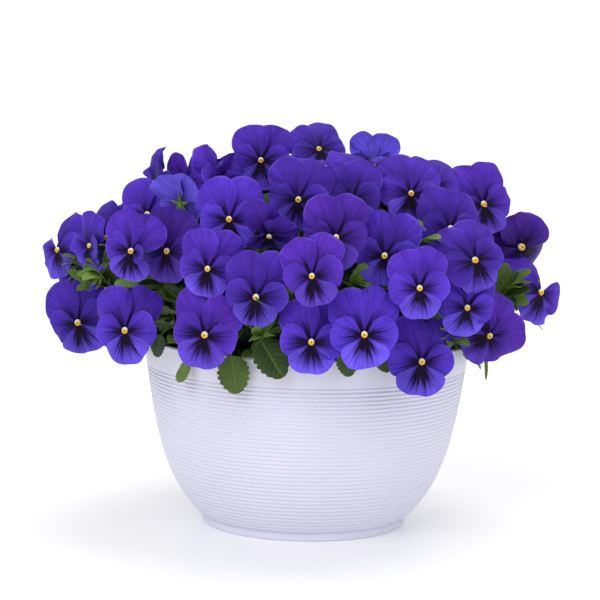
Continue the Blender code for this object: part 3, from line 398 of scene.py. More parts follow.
# Where the blooms stand: the same rules as in the frame's source


def view_ray(px, py):
    """Direction from the photo's viewpoint through a pixel of its 600 by 600 frame."""
    across = px - VIEW_MIDDLE_X
    down = py - VIEW_MIDDLE_Y
    u = across * math.cos(VIEW_ROLL) + down * math.sin(VIEW_ROLL)
    v = down * math.cos(VIEW_ROLL) - across * math.sin(VIEW_ROLL)
    c, s = math.cos(VIEW_PITCH), math.sin(VIEW_PITCH)
    return unit(np.array([u / VIEW_FOCAL, c - v / VIEW_FOCAL * s, -s - v / VIEW_FOCAL * c]))


def dome_value(points, middle, radius, up, down):
    """Under 1 inside a dome: an ellipse above its middle, a squarer one below."""
    flat = np.hypot(points[..., 0], points[..., 1]) / radius
    rise = points[..., 2] - middle
    above = np.hypot(flat, rise / up)
    below = (flat**3 + np.abs(rise / down) ** 3) ** (1 / 3)
    return np.where(rise > 0, above, below)


def shell_value(points):
    return dome_value(points, SHELL_MIDDLE, SHELL_RADIUS, SHELL_UP, SHELL_DOWN)


def core_value(points):
    return dome_value(points, CORE_MIDDLE, CORE_RADIUS, CORE_UP, CORE_DOWN)


def ray_points(ray, step):
    """Points along a ray from the photo's viewpoint, from before the object to behind it."""
    eye = np.array([0.0, -VIEW_DISTANCE, VIEW_HEIGHT])
    return eye + np.arange(VIEW_NEAR, VIEW_FAR, step)[:, None] * ray


def first_within(points, value, limit):
    """The first point whose value is within the limit, or the point with the least value."""
    inside = np.flatnonzero(value <= limit)
    return points[inside[0] if len(inside) else int(np.argmin(value))]


def meet_shell(px, py):
    """First point of the dome on a pixel's ray, or the ray's nearest pass of the dome."""
    ray = view_ray(px, py)
    points = ray_points(ray, 0.5)
    return first_within(points, shell_value(points), 1), ray


def on_cylinder(px, py, radius):
    """Where a pixel's ray first meets an upright cylinder round the pot's axis."""
    points = ray_points(view_ray(px, py), 0.25)
    return first_within(points, np.hypot(points[:, 0], points[:, 1]), radius)


def bloom_axes(turn, nod, roll):
    """Rows: a bloom's right, up and facing directions. Turn 0 faces -Y, turn 90 faces +X."""
    t, n, r = math.radians(turn), math.radians(nod), math.radians(roll)
    face = np.array([math.sin(t) * math.cos(n), -math.cos(t) * math.cos(n), -math.sin(n)])
    side = np.array([math.cos(t), math.sin(t), 0.0])
    up = np.cross(face, side)
    return np.array(
        [side * math.cos(r) - up * math.sin(r), side * math.sin(r) + up * math.cos(r), face]
    )


def egg(long, wide, widest, angles):
    """Outline of a petal as distances along and across it, for angles counted from its tip. It
    is widest at a share of its length, where a round tip meets a tapered root."""
    middle = widest * long
    reach = np.where(np.abs(angles) < math.pi / 2, long - middle, middle * ROOT_TAPER)
    return middle + reach * np.cos(angles), wide / 2 * np.sin(angles)


def petal_place(petal, along, across):
    """Petal points in the bloom's frame: each layer leans its own way and all cup alike."""
    x, y = turned_by(math.radians(petal.angle), along, across)
    far = np.hypot(x, y)
    z = HUB_LEVEL + petal.level * PETAL_THICK + petal.lean * np.maximum(far - HUB_RADIUS, 0)
    return points_of(x, y, z - PETAL_CUP * (far / CUP_REACH) ** 2)


def plain_bloom(half):
    """Points and triangles of the frame's own plain bloom, which tell where each node stands."""
    points = [[0, 0, HUB_BACK], [0, 0, HUB_FRONT]]
    faces = []
    edges = [HUB_LEVEL + (level - 0.5) * PETAL_THICK for level in range(5)]
    columns = []
    for k, angle in enumerate(HUB_CORNERS):
        x = HUB_RADIUS * math.cos(math.radians(angle))
        y = HUB_RADIUS * math.sin(math.radians(angle))
        before, after = PETALS[k - 1].level, PETALS[k].level
        marks = sorted({before, before + 1, after, after + 1})
        columns.append({mark: len(points) + n for n, mark in enumerate(marks)})
        points += [[x, y, edges[mark]] for mark in marks]
    for k, petal in enumerate(PETALS):
        right, left = columns[k], columns[(k + 1) % len(PETALS)]
        low, high = petal.level, petal.level + 1
        chain = [left[m] for m in sorted(left) if m <= low]
        chain += [right[m] for m in sorted(right, reverse=True) if m <= low]
        faces += [(0, chain[n], chain[n + 1]) for n in range(len(chain) - 1)]
        chain = [right[m] for m in sorted(right, reverse=True) if m >= high]
        chain += [left[m] for m in sorted(left) if m >= high]
        faces += [(1, chain[n], chain[n + 1]) for n in range(len(chain) - 1)]
        turns = np.linspace(-OUTLINE_SWEEP, OUTLINE_SWEEP, petal.points)
        edge = petal_place(petal, *egg(petal.long, petal.wide, WIDEST, turns))
        start = len(points)
        points += (edge - [0, 0, PETAL_THICK / 2]).tolist()
        points += (edge + [0, 0, PETAL_THICK / 2]).tolist()
        count = petal.points
        back = [right[low]] + list(range(start, start + count)) + [left[low]]
        front = [right[high]] + list(range(start + count, start + 2 * count)) + [left[high]]
        last = len(back) - 1
        for n in range(last):
            faces += [(back[n], back[n + 1], front[n + 1]), (back[n], front[n + 1], front[n])]
        a, b = 0, last
        while b - a > 1:
            if b - a > 2:
                faces += [(front[a], front[a + 1], front[b - 1]), (front[a], front[b - 1], front[b])]
                faces += [(back[b - 1], back[a + 1], back[a]), (back[b], back[b - 1], back[a])]
            else:
                faces += [(front[a], front[a + 1], front[b]), (back[b], back[a + 1], back[a])]
            a, b = a + 1, b - 1
    return np.array(points) * half / NOMINAL_HALF, faces


# A group is one node of one to three blooms: home is its first place, parts hold each bloom's
# shift, axes and half width
Group = namedtuple("Group", "home parts")


def seen_groups():
    """The blooms of the photo, each on its pixel's ray and stepped out of the dome by its tier."""
    groups = []
    for seen in SEEN_BLOOMS:
        spot, ray = meet_shell(seen.px, seen.py)
        axes = bloom_axes(seen.turn, seen.nod, seen.roll)
        home = spot - ray * seen.tier * TIER_STEP
        groups.append(Group(home, [(np.zeros(3), axes, float(seen.half))]))
    return groups


def shell_spots(count):
    """Points spread evenly round the dome by the golden angle."""
    k = np.arange(count) + 0.5
    turn = k * GOLDEN_TURN
    level = 1 - 2 * k / count
    ring = np.sqrt(1 - level**2)
    spots = SHELL_RADIUS * np.stack([ring * np.cos(turn), ring * np.sin(turn), level], axis=1)
    spots[:, 2] *= np.where(level > 0, SHELL_UP, SHELL_DOWN) / SHELL_RADIUS
    middle = np.array([0, 0, SHELL_MIDDLE])
    return middle + spots / shell_value(spots + middle)[:, None]


def shell_normal(spots):
    """The dome's outward directions at points that are given from its axis."""
    rise = spots[..., 2] - SHELL_MIDDLE
    up = np.where(rise > 0, SHELL_UP, SHELL_DOWN)
    normal = spots / SHELL_RADIUS**2
    normal[..., 2] = rise / up**2
    return units(normal)


def part_tree(part):
    """Search tree of the triangles of one plain bloom in a row."""
    shift, axes, half = part
    points, faces = plain_bloom(half)
    return BVHTree.FromPolygons((shift + points @ axes).tolist(), faces)


def joined(parts, part, way):
    """The part of a row, moved to and fro until its petals cross the last one's."""
    if not parts:
        return part
    shift, axes, half = part
    last = part_tree(parts[-1])
    for move in ROW_MOVES:
        moved = (shift + way * move, axes, half)
        if len(part_tree(moved).overlap(last)) >= LEAST_CROSSINGS:
            return moved
    raise RuntimeError("two blooms of a row don't join")


def row_groups(seen, draw):
    """Rows go one by one to the spot of the unseen dome that the blooms so far cover least."""
    spots = shell_spots(SPOT_COUNT)
    normals = shell_normal(spots)
    to_view = [0, -math.cos(VIEW_PITCH), math.sin(VIEW_PITCH)]
    free = (normals @ to_view < SEEN_FROM_FRONT) & (spots[:, 2] > ROW_LOWEST)
    spots, normals = spots[free], normals[free]
    taken = [group.home for group in seen]
    faces = [group.parts[0][1][2] for group in seen]
    groups = []
    for size in ROW_SIZES:
        cover = COVER_RADIUS * np.clip(normals @ np.array(faces).T, 0.2, 1)
        bare = np.linalg.norm(spots[:, None] - np.array(taken)[None], axis=2) - cover
        pick = int(np.argmax(bare.min(axis=1)))
        spot, normal = spots[pick], normals[pick]
        facing = math.degrees(math.atan2(normal[0], -normal[1]))
        rise = math.degrees(math.asin(normal[2]))
        nod = -FACES_UP * rise if rise > 0 else UNDER_NOD
        axes = bloom_axes(facing, nod, draw.uniform(-ROW_TILT, ROW_TILT))
        parts = []
        for k in range(size):
            hand = k - (size - 1) / 2
            roll = draw.uniform(-ROW_TILT, ROW_TILT)
            own = bloom_axes(facing + hand * ROW_TURN, nod + draw.uniform(-3, 3), roll)
            shift = hand * ROW_PITCH * axes[0] + draw.uniform(-ROW_LIFT, ROW_LIFT) * axes[1]
            shift = shift - hand**2 * ROW_SINK * axes[2]
            parts.append(joined(parts, (shift, own, draw.uniform(*ROW_HALVES)), axes[2]))
            taken.append(spot + shift)
            faces.append(own[2])
        groups.append(Group(spot, parts))
    return groups


Bloom = namedtuple("Bloom", "node place axes half seen")


def bloom_layout():
    """Every bloom with its node: the place is the node's box less the box of its plain blooms."""
    draw = np.random.default_rng(LAYOUT_SEED)
    seen = seen_groups()
    blooms = []
    names = [f"bloom_{k + 1:02d}" for k in range(len(seen))]
    names += [f"bloom_row_{k + 1:02d}" for k in range(len(ROW_SIZES))]
    for name, group in zip(names, seen + row_groups(seen, draw)):
        own = [shift + plain_bloom(half)[0] @ axes for shift, axes, half in group.parts]
        low = np.concatenate(own).min(axis=0)
        place = np.array(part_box(name)[0]) / MM - low
        for shift, axes, half in group.parts:
            blooms.append(Bloom(name, place + shift, axes, half, len(group.parts) == 1))
    return blooms


def shown_blooms():
    """The frame's blooms, with those in OPENED turned and grown a little in their places."""
    blooms = []
    for bloom in bloom_layout():
        pose = OPENED.get(bloom.node)
        if pose:
            axes = bloom_axes(pose["turn"], pose["nod"], pose["roll"])
            bloom = bloom._replace(axes=axes, half=bloom.half * pose["grown"])
        blooms.append(bloom)
    return blooms


# Meshes from grids


class Surface:
    """Gathers grids of points and faces, with a value per point, and makes one mesh of them."""

    def __init__(self):
        self.points, self.faces, self.marks, self.uvs, self.values = [], [], [], [], []
        self.count = 0

    def add(self, points, faces, uv=None, material=0, **values):
        """Faces are arrays of corner numbers, one array for each number of corners. Every call
        on one surface names the same values, each a number or an array with one per point."""
        size = len(points)
        self.points.append(points)
        for corners in faces:
            self.faces.append(np.asarray(corners) + self.count)
            self.marks.append(np.full(len(corners), material))
        self.uvs.append(np.zeros((size, 2)) if uv is None else uv)
        self.values.append({name: np.broadcast_to(value, size) for name, value in values.items()})
        self.count += size

    def build(self, name, materials, uv_name, sharp=60):
        """One mesh in metres with its materials, its map and its values, smooth but for edges
        that turn by more than the sharp angle in degrees."""
        points = np.concatenate(self.points) * MM
        loops = np.concatenate([corners.ravel() for corners in self.faces])
        sizes = np.concatenate([np.full(len(c), c.shape[1]) for c in self.faces])
        mesh = bpy.data.meshes.new(name)
        mesh.vertices.add(len(points))
        mesh.vertices.foreach_set("co", points.ravel())
        mesh.loops.add(len(loops))
        mesh.loops.foreach_set("vertex_index", loops)
        mesh.polygons.add(len(sizes))
        mesh.polygons.foreach_set("loop_start", np.concatenate([[0], np.cumsum(sizes)[:-1]]))
        mesh.update(calc_edges=True)
        mesh.polygons.foreach_set("material_index", np.concatenate(self.marks))
        mesh.polygons.foreach_set("use_smooth", np.ones(len(sizes), dtype=bool))
        layer = mesh.uv_layers.new(name=uv_name)
        layer.data.foreach_set("uv", np.concatenate(self.uvs)[loops].ravel())
        for key in self.values[0]:
            data = np.concatenate([values[key] for values in self.values])
            mesh.attributes.new(key, "FLOAT", "POINT").data.foreach_set("value", data)
        mesh.set_sharp_from_angle(angle=math.radians(sharp))
        for material in materials:
            mesh.materials.append(material)
        piece = bpy.data.objects.new(name, mesh)
        bpy.context.scene.collection.objects.link(piece)
        return piece


def grid_faces(rows, columns):
    """Quads of a grid whose point (i, j) has the number i * columns + j, facing rows x columns."""
    i, j = np.meshgrid(np.arange(rows - 1), np.arange(columns - 1), indexing="ij")
    corner = (i * columns + j).ravel()
    return np.stack([corner, corner + columns, corner + columns + 1, corner + 1], axis=1)


def slab(front, back):
    """Closed plate between two grids of one size: both faces and a strip round their edge."""
    rows, columns = front.shape[:2]
    count = rows * columns
    face = grid_faces(rows, columns)
    number = np.arange(count).reshape(rows, columns)
    edge = np.concatenate(
        [number[:-1, 0], number[-1, :-1], number[:0:-1, -1], number[0, :0:-1]]
    )
    ahead = np.roll(edge, -1)
    strip = np.stack([ahead, edge, edge + count, ahead + count], axis=1)
    faces = np.concatenate([face, face[:, ::-1] + count, strip])
    return np.concatenate([front.reshape(-1, 3), back.reshape(-1, 3)]), faces


def ring_faces(rows, sides):
    """Quads between rings of points that follow each other, and a face to close each end."""
    number = np.arange(rows * sides).reshape(rows, sides)
    far = np.roll(number, -1, axis=1)
    walls = np.stack([number[:-1], far[:-1], far[1:], number[1:]], axis=-1).reshape(-1, 4)
    return [walls, number[:1, ::-1], number[-1:]]


def turned(profile, sides):
    """Closed solid turned from a profile that runs up the outside and down the inside."""
    turn = circle_turns(sides)
    r, z = profile[:, 0, None], profile[:, 1, None]
    points = points_of(r * np.cos(turn), r * np.sin(turn), z)
    return points.reshape(-1, 3), ring_faces(len(profile), sides)


def tube(path, radii, sides):
    """Closed tube: circles of the given radii square to the path, with flat ends."""
    tangent = units(np.gradient(path, axis=0))
    side = units(np.cross(tangent, ASKEW))
    other = np.cross(tangent, side)
    turn = circle_turns(sides)
    circle = side[:, None] * np.cos(turn)[:, None] + other[:, None] * np.sin(turn)[:, None]
    points = path[:, None] + circle * np.asarray(radii)[:, None, None]
    return points.reshape(-1, 3), ring_faces(len(path), sides)


def bezier(corners, shares):
    """Points of the curve that four corners span, at shares of its way."""
    t = shares[:, None]
    a, b, c, d = (np.asarray(corner, dtype=float) for corner in corners)
    return a * (1 - t) ** 3 + 3 * b * t * (1 - t) ** 2 + 3 * c * t**2 * (1 - t) + d * t**3


# Blooms


def smooth_step(low, high, value):
    """From 0 at low to 1 at high, level at both."""
    t = np.clip((value - low) / (high - low), 0, 1)
    return t * t * (3 - 2 * t)


def waved(start, waves, v, draw):
    """A start value plus sine waves along v, each of chance strength and phase."""
    for count, size in waves:
        start = start + size * draw.uniform(-1, 1) * np.sin(count * v + draw.uniform(0, 6.28))
    return start


def fine_petal(surface, bloom, petal, dress, draw, settings, grid, wild, lean, values):
    """One petal as a thin plate. A point at share u of the way from the root to the edge, on
    the spoke with outline angle v, lies at root + u (edge(v) - root) in the petal's plane, with
    the edge scaled by a few sine waves in v and a dip at the tip. Its height is the frame's own
    plate plus a ruffle that grows with u cubed, a fold along the petal and a rim that curls."""
    scale = bloom.half / NOMINAL_HALF
    rings, spokes = grid
    v = np.linspace(-OUTLINE_SWEEP, OUTLINE_SWEEP, spokes)
    u = np.linspace(0.0, 1.0, rings)[:, None] ** 0.85
    long = petal.long * dress.long * draw.uniform(0.95, 1.04)
    wide = petal.wide * dress.wide * draw.uniform(0.95, 1.04)
    lean = lean + draw.uniform(-0.10, 0.12)
    along, across = egg(long, wide, dress.widest, v)
    swing = waved(1 - dress.notch * np.exp(-((v / NOTCH_TURN) ** 2)), EDGE_WAVES, v, draw)
    ruffle = waved(np.zeros(spokes), RUFFLE_WAVES, v, draw)
    flat_along = PETAL_ROOT + u * (along * swing - PETAL_ROOT)
    flat_across = u * across * swing + ROOT_HALF * (1 - u) * v / OUTLINE_SWEEP
    base = petal_place(petal, flat_along, flat_across)
    far = np.hypot(base[..., 0], base[..., 1])
    angle = np.arctan2(flat_across, flat_along)
    height = settings.ruffle / MM * wild * u**3 * ruffle
    height = height - settings.curl / MM * smooth_step(0.7, 1.0, u) * draw.uniform(0.3, 1.3)
    fold = draw.uniform(-1, 1) * settings.fold / MM * wild
    height = height + fold * (flat_across / (petal.wide / 2)) ** 2 * u
    height = height + 0.16 * u * (1 - u) * np.sin(v * 13 + draw.uniform(0, 6))
    height = height + draw.uniform(-0.05, 0.03) * np.maximum(far - HUB_RADIUS, 0)
    base[..., 2] += height
    past_hub = np.maximum(far - HUB_RADIUS, 0)
    drawn_in = 1 + past_hub * (1 / math.hypot(1, lean) - 1) / np.maximum(far, 1)
    base[..., :2] *= drawn_in[..., None]
    base[..., 2] += past_hub * lean / math.hypot(1, lean)
    thick = settings.thickness / MM * (1 - 0.6 * u**4)
    lift = thick[..., None] / 2 * [0, 0, 1]
    points, faces = slab(base + lift, base - lift)
    points = bloom.place + points * scale @ bloom.axes
    uv = points_of(0.5 + angle / (2 * math.pi), far / POLAR_REACH).reshape(-1, 2)
    edge = np.tile(np.broadcast_to(u, far.shape).ravel(), 2)
    surface.add(
        points, [faces], np.tile(uv, (2, 1)), 0, kind=dress.kind, edge=edge,
        reach=dress.reach * draw.uniform(0.85, 1.1) / POLAR_REACH, fan=dress.fan,
        back=np.repeat([0.0, 1.0], far.size), **values,
    )


def bloom_eye(surface, bloom, values):
    """The eye as a low dome with a dimple and two tufts: height H sqrt(1 - r r) less a bell at
    the middle, plus a bell at each tuft, which stand like a roof over the dimple."""
    scale = bloom.half / NOMINAL_HALF
    sides, rings = 20, 9
    r = np.linspace(1.0, 0.05, rings)[:, None]
    turn = circle_turns(sides)
    x = EYE_RADIUS * r * np.cos(turn)
    y = EYE_RADIUS * r * np.sin(turn) * np.where(np.sin(turn) > 0, 1.25, 1.0)
    z = EYE_HEIGHT * np.sqrt(1 - 0.98 * r**2) - 0.8 * np.exp(-((r / 0.3) ** 2))
    for hand in (-1, 1):
        off = (x - hand * 1.25) ** 2 / 0.55 + (y - 1.35 + 0.5 * np.abs(x)) ** 2 / 1.1
        z = z + TUFT_HEIGHT * np.exp(-off)
    z = z + 0.55
    foot = points_of(x[0], y[0], z[0] - 1.2)[None]
    points = np.concatenate([foot, points_of(x, y, z)])
    faces = ring_faces(len(points), sides)
    uv = 0.5 + points[..., :2].reshape(-1, 2) / (4 * EYE_RADIUS)
    points = bloom.place + points.reshape(-1, 3) * scale @ bloom.axes
    surface.add(
        points, faces, uv, 1, kind=1.0, edge=0.0, reach=0.0, fan=0.0, back=0.0, **values
    )


def make_blooms(settings):
    """A piece for each node of blooms, with finer grids where the photo shows the bloom."""
    materials = [petal_material(settings), eye_material(settings)]
    draw = np.random.default_rng(BLOOM_SEED)
    surfaces = {}
    for bloom in shown_blooms():
        surface = surfaces.setdefault(bloom.node, Surface())
        grid = SEEN_PETAL if bloom.seen else PLAIN_PETAL
        values = {"tone": draw.uniform(-1, 1), "hue": draw.uniform(0, 1) ** 1.5}
        # The tones set for single blooms include painted light for bloom_32.
        values.update(SHOWN_TONES_AND_LIGHT.get(bloom.node, {}))
        aside = 1 - abs(bloom.axes[2] @ [0, -1, 0]) if bloom.seen else 0
        wild = draw.uniform(0.6, 1.7) + 1.2 * aside
        for k, (petal, dress) in enumerate(zip(PETALS, DRESSES)):
            lean = BENDS.get((bloom.node, k), 0.0)
            fine_petal(surface, bloom, petal, dress, draw, settings, grid, wild, lean, values)
        bloom_eye(surface, bloom, values)
    for node, surface in surfaces.items():
        piece = surface.build("viola_" + node, materials, "polar")
        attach(piece, "root")
        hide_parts(node)


# Plants


def wedge_room(point, plant):
    """Distance inside the plant's wedge, negative outside it."""
    middle = math.radians(PLANT_TURN + plant * 360 / PLANT_COUNT)
    half = math.pi / PLANT_COUNT
    low, high = middle - half, middle + half
    normals = np.array([[-math.sin(low), math.cos(low), 0], [math.sin(high), -math.cos(high), 0]])
    return (point @ normals.T).min(axis=-1)


def plant_of(point):
    """The plant in whose wedge a point lies deepest."""
    return int(np.argmax([wedge_room(point, plant) for plant in range(PLANT_COUNT)]))


def clear_pot(path):
    """Lifts points that lie in the rim's wall over it, and those in the soil out of it."""
    path = path.copy()
    flat = np.hypot(path[:, 0], path[:, 1])
    rim = pot_radius(POT_TOP)
    over = (flat > rim - RIM_INSIDE) & (flat < rim + RIM_OUTSIDE)
    floor = np.where(over, POT_TOP + RIM_CLEAR, np.where(flat < rim, SOIL_TOP + SOIL_CLEAR, 0))
    path[:, 2] = np.maximum(path[:, 2], floor)
    return path


def add_stem(surface, bloom, draw):
    """Stem from behind the bloom's hub, over a knee, into the core, and five pointed sepals."""
    scale = bloom.half / NOMINAL_HALF
    right, up, face = bloom.axes
    start = bloom.place + face * (HUB_BACK + 1.0) * scale
    turn = math.atan2(start[1], start[0])
    target = np.array([40 * math.cos(turn), 40 * math.sin(turn), draw.uniform(170, 190)])
    ways = start + np.linspace(0, 1, 120)[:, None] * (target - start)
    inside = np.flatnonzero(core_value(ways) < 0.8)
    end = ways[inside[0]] if len(inside) else target
    knee = start - face * 13 + up * 3 + right * draw.uniform(-3, 3)
    path = clear_pot(bezier((start, knee, end + (knee - end) * 0.35 + [0, 0, 5], end), STEM_SHARES))
    points, faces = tube(path, np.linspace(0.95, 1.35, len(path)), 7)
    surface.add(points, faces, material=1, tone=draw.uniform(-1, 1), young=0.6)
    s = np.linspace(0, 1, 7)[:, None]
    c = np.linspace(-1, 1, 3)
    for k in range(SEPAL_COUNT):
        angle = 2 * math.pi * (k + 0.25) / SEPAL_COUNT + draw.uniform(-0.15, 0.15)
        along = 0.6 + SEPAL_LONG * s * draw.uniform(0.85, 1.1)
        across = SEPAL_WIDE * np.sin(np.pi * (0.12 + 0.88 * s) ** 0.7) * c
        height = -SEPAL_BACK - 0.04 * along - s * (1 - s)
        plate = points_of(*turned_by(angle, along, across), height)
        points, quads = slab(plate + [0, 0, 0.25], plate - [0, 0, 0.25])
        points = bloom.place + points * scale @ bloom.axes
        surface.add(points, [quads], material=1, tone=draw.uniform(-1, 1), young=0.5)


Leaf = namedtuple("Leaf", "root base tip half roll arch young")


def add_leaf(surface, leaf, draw, steps, sides, teeth):
    """A stalk and a scalloped blade. The blade's middle line is a curve from base to tip; at
    share s along it the half width is 1.04 half sin(pi s^0.8)^0.52, cut by |sin(pi teeth s)|
    into round teeth, and the blade folds up along its midrib and waves towards its edge."""
    s = np.linspace(0.004, 0.99, steps)
    blade = leaf.tip - leaf.base
    lift = np.array([0, 0, 1.0]) * leaf.arch
    first, second = leaf.base + blade * 0.35 + lift, leaf.base + blade * 0.7 + lift
    line = bezier((leaf.base, first, second, leaf.tip), s)
    tangent = units(np.gradient(line, axis=0))
    across = unit(np.cross(leaf.tip - leaf.root, [0, 0, 1.0]) + [1e-6, 0, 0])
    side = units(across - tangent * (tangent @ across)[:, None])
    normal = np.cross(side, tangent)
    c, r = math.cos(leaf.roll), math.sin(leaf.roll)
    side, normal = side * c + normal * r, normal * c - side * r
    tooth = 1 - 0.17 * (1 - np.abs(np.sin(math.pi * teeth * s)) ** 0.8)
    width = leaf.half * 1.04 * np.sin(math.pi * s**0.8) ** 0.52 * tooth
    shares = np.linspace(-1, 1, sides)
    out = width[:, None] * shares
    wave = 0.05 * leaf.half * np.sin(9 * s[:, None] + draw.uniform(0, 6)) * shares**2
    rise = 0.16 * np.abs(out) + wave - 0.10 * out**2 / leaf.half
    plate = line[:, None] + side[:, None] * out[..., None] + normal[:, None] * rise[..., None]
    half_thick = normal[:, None] * BLADE_THICK / 2
    points, quads = slab(plate - half_thick, plate + half_thick)
    uv = points_of(shares * 0.5 + 0.5, s[:, None]).reshape(-1, 2)
    tone = draw.uniform(-1, 1)
    surface.add(points, [quads], np.tile(uv, (2, 1)), 0, tone=tone, young=leaf.young)
    stalk_end = leaf.base - (first - leaf.base) * 0.8
    rise_point = leaf.root + (leaf.base - leaf.root) * 0.4 + [0, 0, 4]
    turns, corners = (9, 6) if steps > 12 else (4, 3)
    corner_points = (leaf.root, rise_point, stalk_end, line[1])
    path = clear_pot(bezier(corner_points, np.linspace(0, 1, turns)))
    points, faces = tube(path, np.linspace(1.0, 0.6, turns), corners)
    surface.add(points, faces, material=1, tone=tone, young=leaf.young)


def core_share(spread, depth):
    """A point at a share of the way from the core's middle to its surface, along a spread."""
    middle = np.array([0, 0, CORE_MIDDLE])
    return middle + spread / core_value(middle + spread) * depth


def core_point(turn, height, depth):
    """The core's point at a share of its depth, towards a turn and a height."""
    return core_share(outward(turn) * CORE_RADIUS + [0, 0, height - CORE_MIDDLE], depth)


def core_spread(turn, rise):
    """Direction from a turn and a rise, and its spread over the core's own half sizes."""
    way = outward(turn) * math.cos(rise) + [0, 0, math.sin(rise)]
    return way, way * [CORE_RADIUS, CORE_RADIUS, CORE_UP if rise > 0 else CORE_DOWN]


def seen_leaves():
    """Leaves placed by the photo, each on an upright cylinder round the pot's axis."""
    leaves = []
    for seen in SEEN_LEAVES:
        base = on_cylinder(seen.base_px, seen.base_py, seen.radius - 3)
        tip = on_cylinder(seen.tip_px, seen.tip_py, seen.radius)
        root = core_point(math.atan2(base[1], base[0]), RIM_ROOT_HEIGHT, RIM_ROOT)
        leaves.append(Leaf(root, base, tip, seen.half, 0.0, 0.0, seen.young))
    return leaves


def rim_leaves(draw, count):
    """Leaves over the rim, all round but where the photo shows the rim bare."""
    leaves = []
    for k in range(count):
        turn = 2 * math.pi * (k + draw.uniform(-0.3, 0.3)) / count
        to_front = abs(math.remainder(turn + math.pi / 2, 2 * math.pi))
        hang = draw.uniform(14, 26) if to_front > 1.0 else draw.uniform(0, 5)
        out = outward(turn)
        sway = outward(turn + math.pi / 2) * draw.uniform(-9, 9)
        base = out * draw.uniform(133, 140) + [0, 0, draw.uniform(155, 161)]
        tip = base + out * draw.uniform(3, 12) + sway - [0, 0, hang]
        root = core_point(turn, RIM_ROOT_HEIGHT, RIM_ROOT)
        half, roll, young = draw.uniform(9.5, 13), draw.uniform(-0.3, 0.3), draw.uniform(0, 0.6)
        leaves.append(Leaf(root, base, tip, half, roll, 1.0, young))
    return leaves


def cover_leaves(draw, count):
    """Leaves that lie over the core like shingles, each pointing its own way."""
    leaves = []
    for k in range(count):
        rise = math.asin(-0.45 + 1.45 * (k + 0.5) / count)
        turn = k * GOLDEN_TURN + draw.uniform(-0.2, 0.2)
        way, spread = core_spread(turn, rise)
        root = core_share(spread, LEAF_ROOT)
        base = core_share(spread, 1) + way * draw.uniform(1, 9)
        drift = np.array([draw.uniform(-1, 1), draw.uniform(-1, 1), draw.uniform(-0.5, 1)])
        drift = unit(drift - way * (drift @ way) * 0.55 + way * draw.uniform(0.15, 0.7))
        tip = base + drift * draw.uniform(26, 38)
        tip[2] = max(tip[2], SOIL_TOP + 14)
        young = draw.uniform(0, 1) ** 2
        half, roll, arch = draw.uniform(9, 13), draw.uniform(-0.6, 0.6), draw.uniform(1, 6)
        leaves.append(Leaf(root, base, tip, half, roll, arch, young))
    return leaves


def gap_leaves(draw, count):
    """Leaves that stand up from the core to just under the blooms."""
    leaves = []
    for k in range(count):
        rise = math.asin(-0.25 + 1.25 * (k + 0.5) / count)
        turn = k * GOLDEN_TURN + draw.uniform(-0.3, 0.3)
        way, spread = core_spread(turn, rise)
        root = core_share(spread, LEAF_ROOT)
        reach = draw.uniform(0.70, 0.91)
        tip = way * [SHELL_RADIUS, SHELL_RADIUS, SHELL_UP] * reach + [0, 0, SHELL_MIDDLE - 4]
        tip = tip + np.array([draw.uniform(-22, 22), draw.uniform(-22, 22), draw.uniform(-8, 4)])
        tip[2] = max(tip[2], POT_TOP + 8)
        base = root + (tip - root) * draw.uniform(0.3, 0.5) + way * 4
        half, roll, young = draw.uniform(8, 13), draw.uniform(-1.5, 1.5), draw.uniform(0, 0.9) ** 2
        leaves.append(Leaf(root, base, tip, half, roll, 4.0, young))
    return leaves


def sprig_leaves(draw):
    """Small leaves that fan out from points under the dome, each tuft on one root."""
    leaves = []
    for sprig in SPRIGS:
        spot, ray = meet_shell(sprig.px, sprig.py)
        spot = spot + ray * sprig.depth
        turn = math.atan2(spot[1], spot[0])
        root = core_point(turn, np.clip(spot[2], 150, 215), 0.9)
        way = unit(spot - root)
        for _ in range(sprig.count):
            drift = np.array([draw.uniform(-1, 1), draw.uniform(-1, 0.4), draw.uniform(-0.5, 1)])
            drift = unit(drift + way * 0.6)
            base = spot + drift * 2
            size = 1.3 if sprig.depth > 30 else 1.0
            long = draw.uniform(13, 22) * size
            half, young = draw.uniform(3.2, 5.5) * size, draw.uniform(0.5, 1.0) / size**3
            leaves.append(
                Leaf(root, base, base + drift * long, half, draw.uniform(-1, 1), 2.0, young)
            )
    return leaves


def add_core(surface, plant):
    """The dark heart of a plant, coloured in painted shade for the shaded inside of the foliage, a
    wedge of the lens with lumps: rows of points run from the lens's underside to its top, each row
    from one side plane of the wedge to the other."""
    middle_turn = math.radians(PLANT_TURN + plant * 360 / PLANT_COUNT)
    turns = middle_turn + np.linspace(-0.5, 0.5, 25) * 2 * math.pi / PLANT_COUNT
    rises = np.radians(np.linspace(-88, 88, 24))[:, None]
    way = points_of(
        CORE_RADIUS * np.cos(rises) * np.cos(turns),
        CORE_RADIUS * np.cos(rises) * np.sin(turns),
        np.where(rises > 0, CORE_UP, CORE_DOWN) * np.sin(rises),
    )
    middle = np.array([0, 0, CORE_MIDDLE])
    lumps = 0.90 + 0.035 * np.sin(9 * turns + 5 * rises) * np.cos(11 * rises)
    lumps = lumps + 0.02 * np.sin(23 * turns)
    outer = middle + way / core_value(middle + way)[..., None] * lumps[..., None]
    inner = middle + (outer - middle) * [0.02, 0.02, 1]
    points, quads = slab(outer[::-1], inner[::-1])
    surface.add(points + outward(middle_turn), [quads], material=2, tone=0.0, young=0.0)


def add_leaves(surfaces, leaves, draw, grid):
    """Each leaf goes to the plant in whose wedge its root lies."""
    for leaf in leaves:
        add_leaf(surfaces[plant_of(leaf.root)], leaf, draw, *grid)


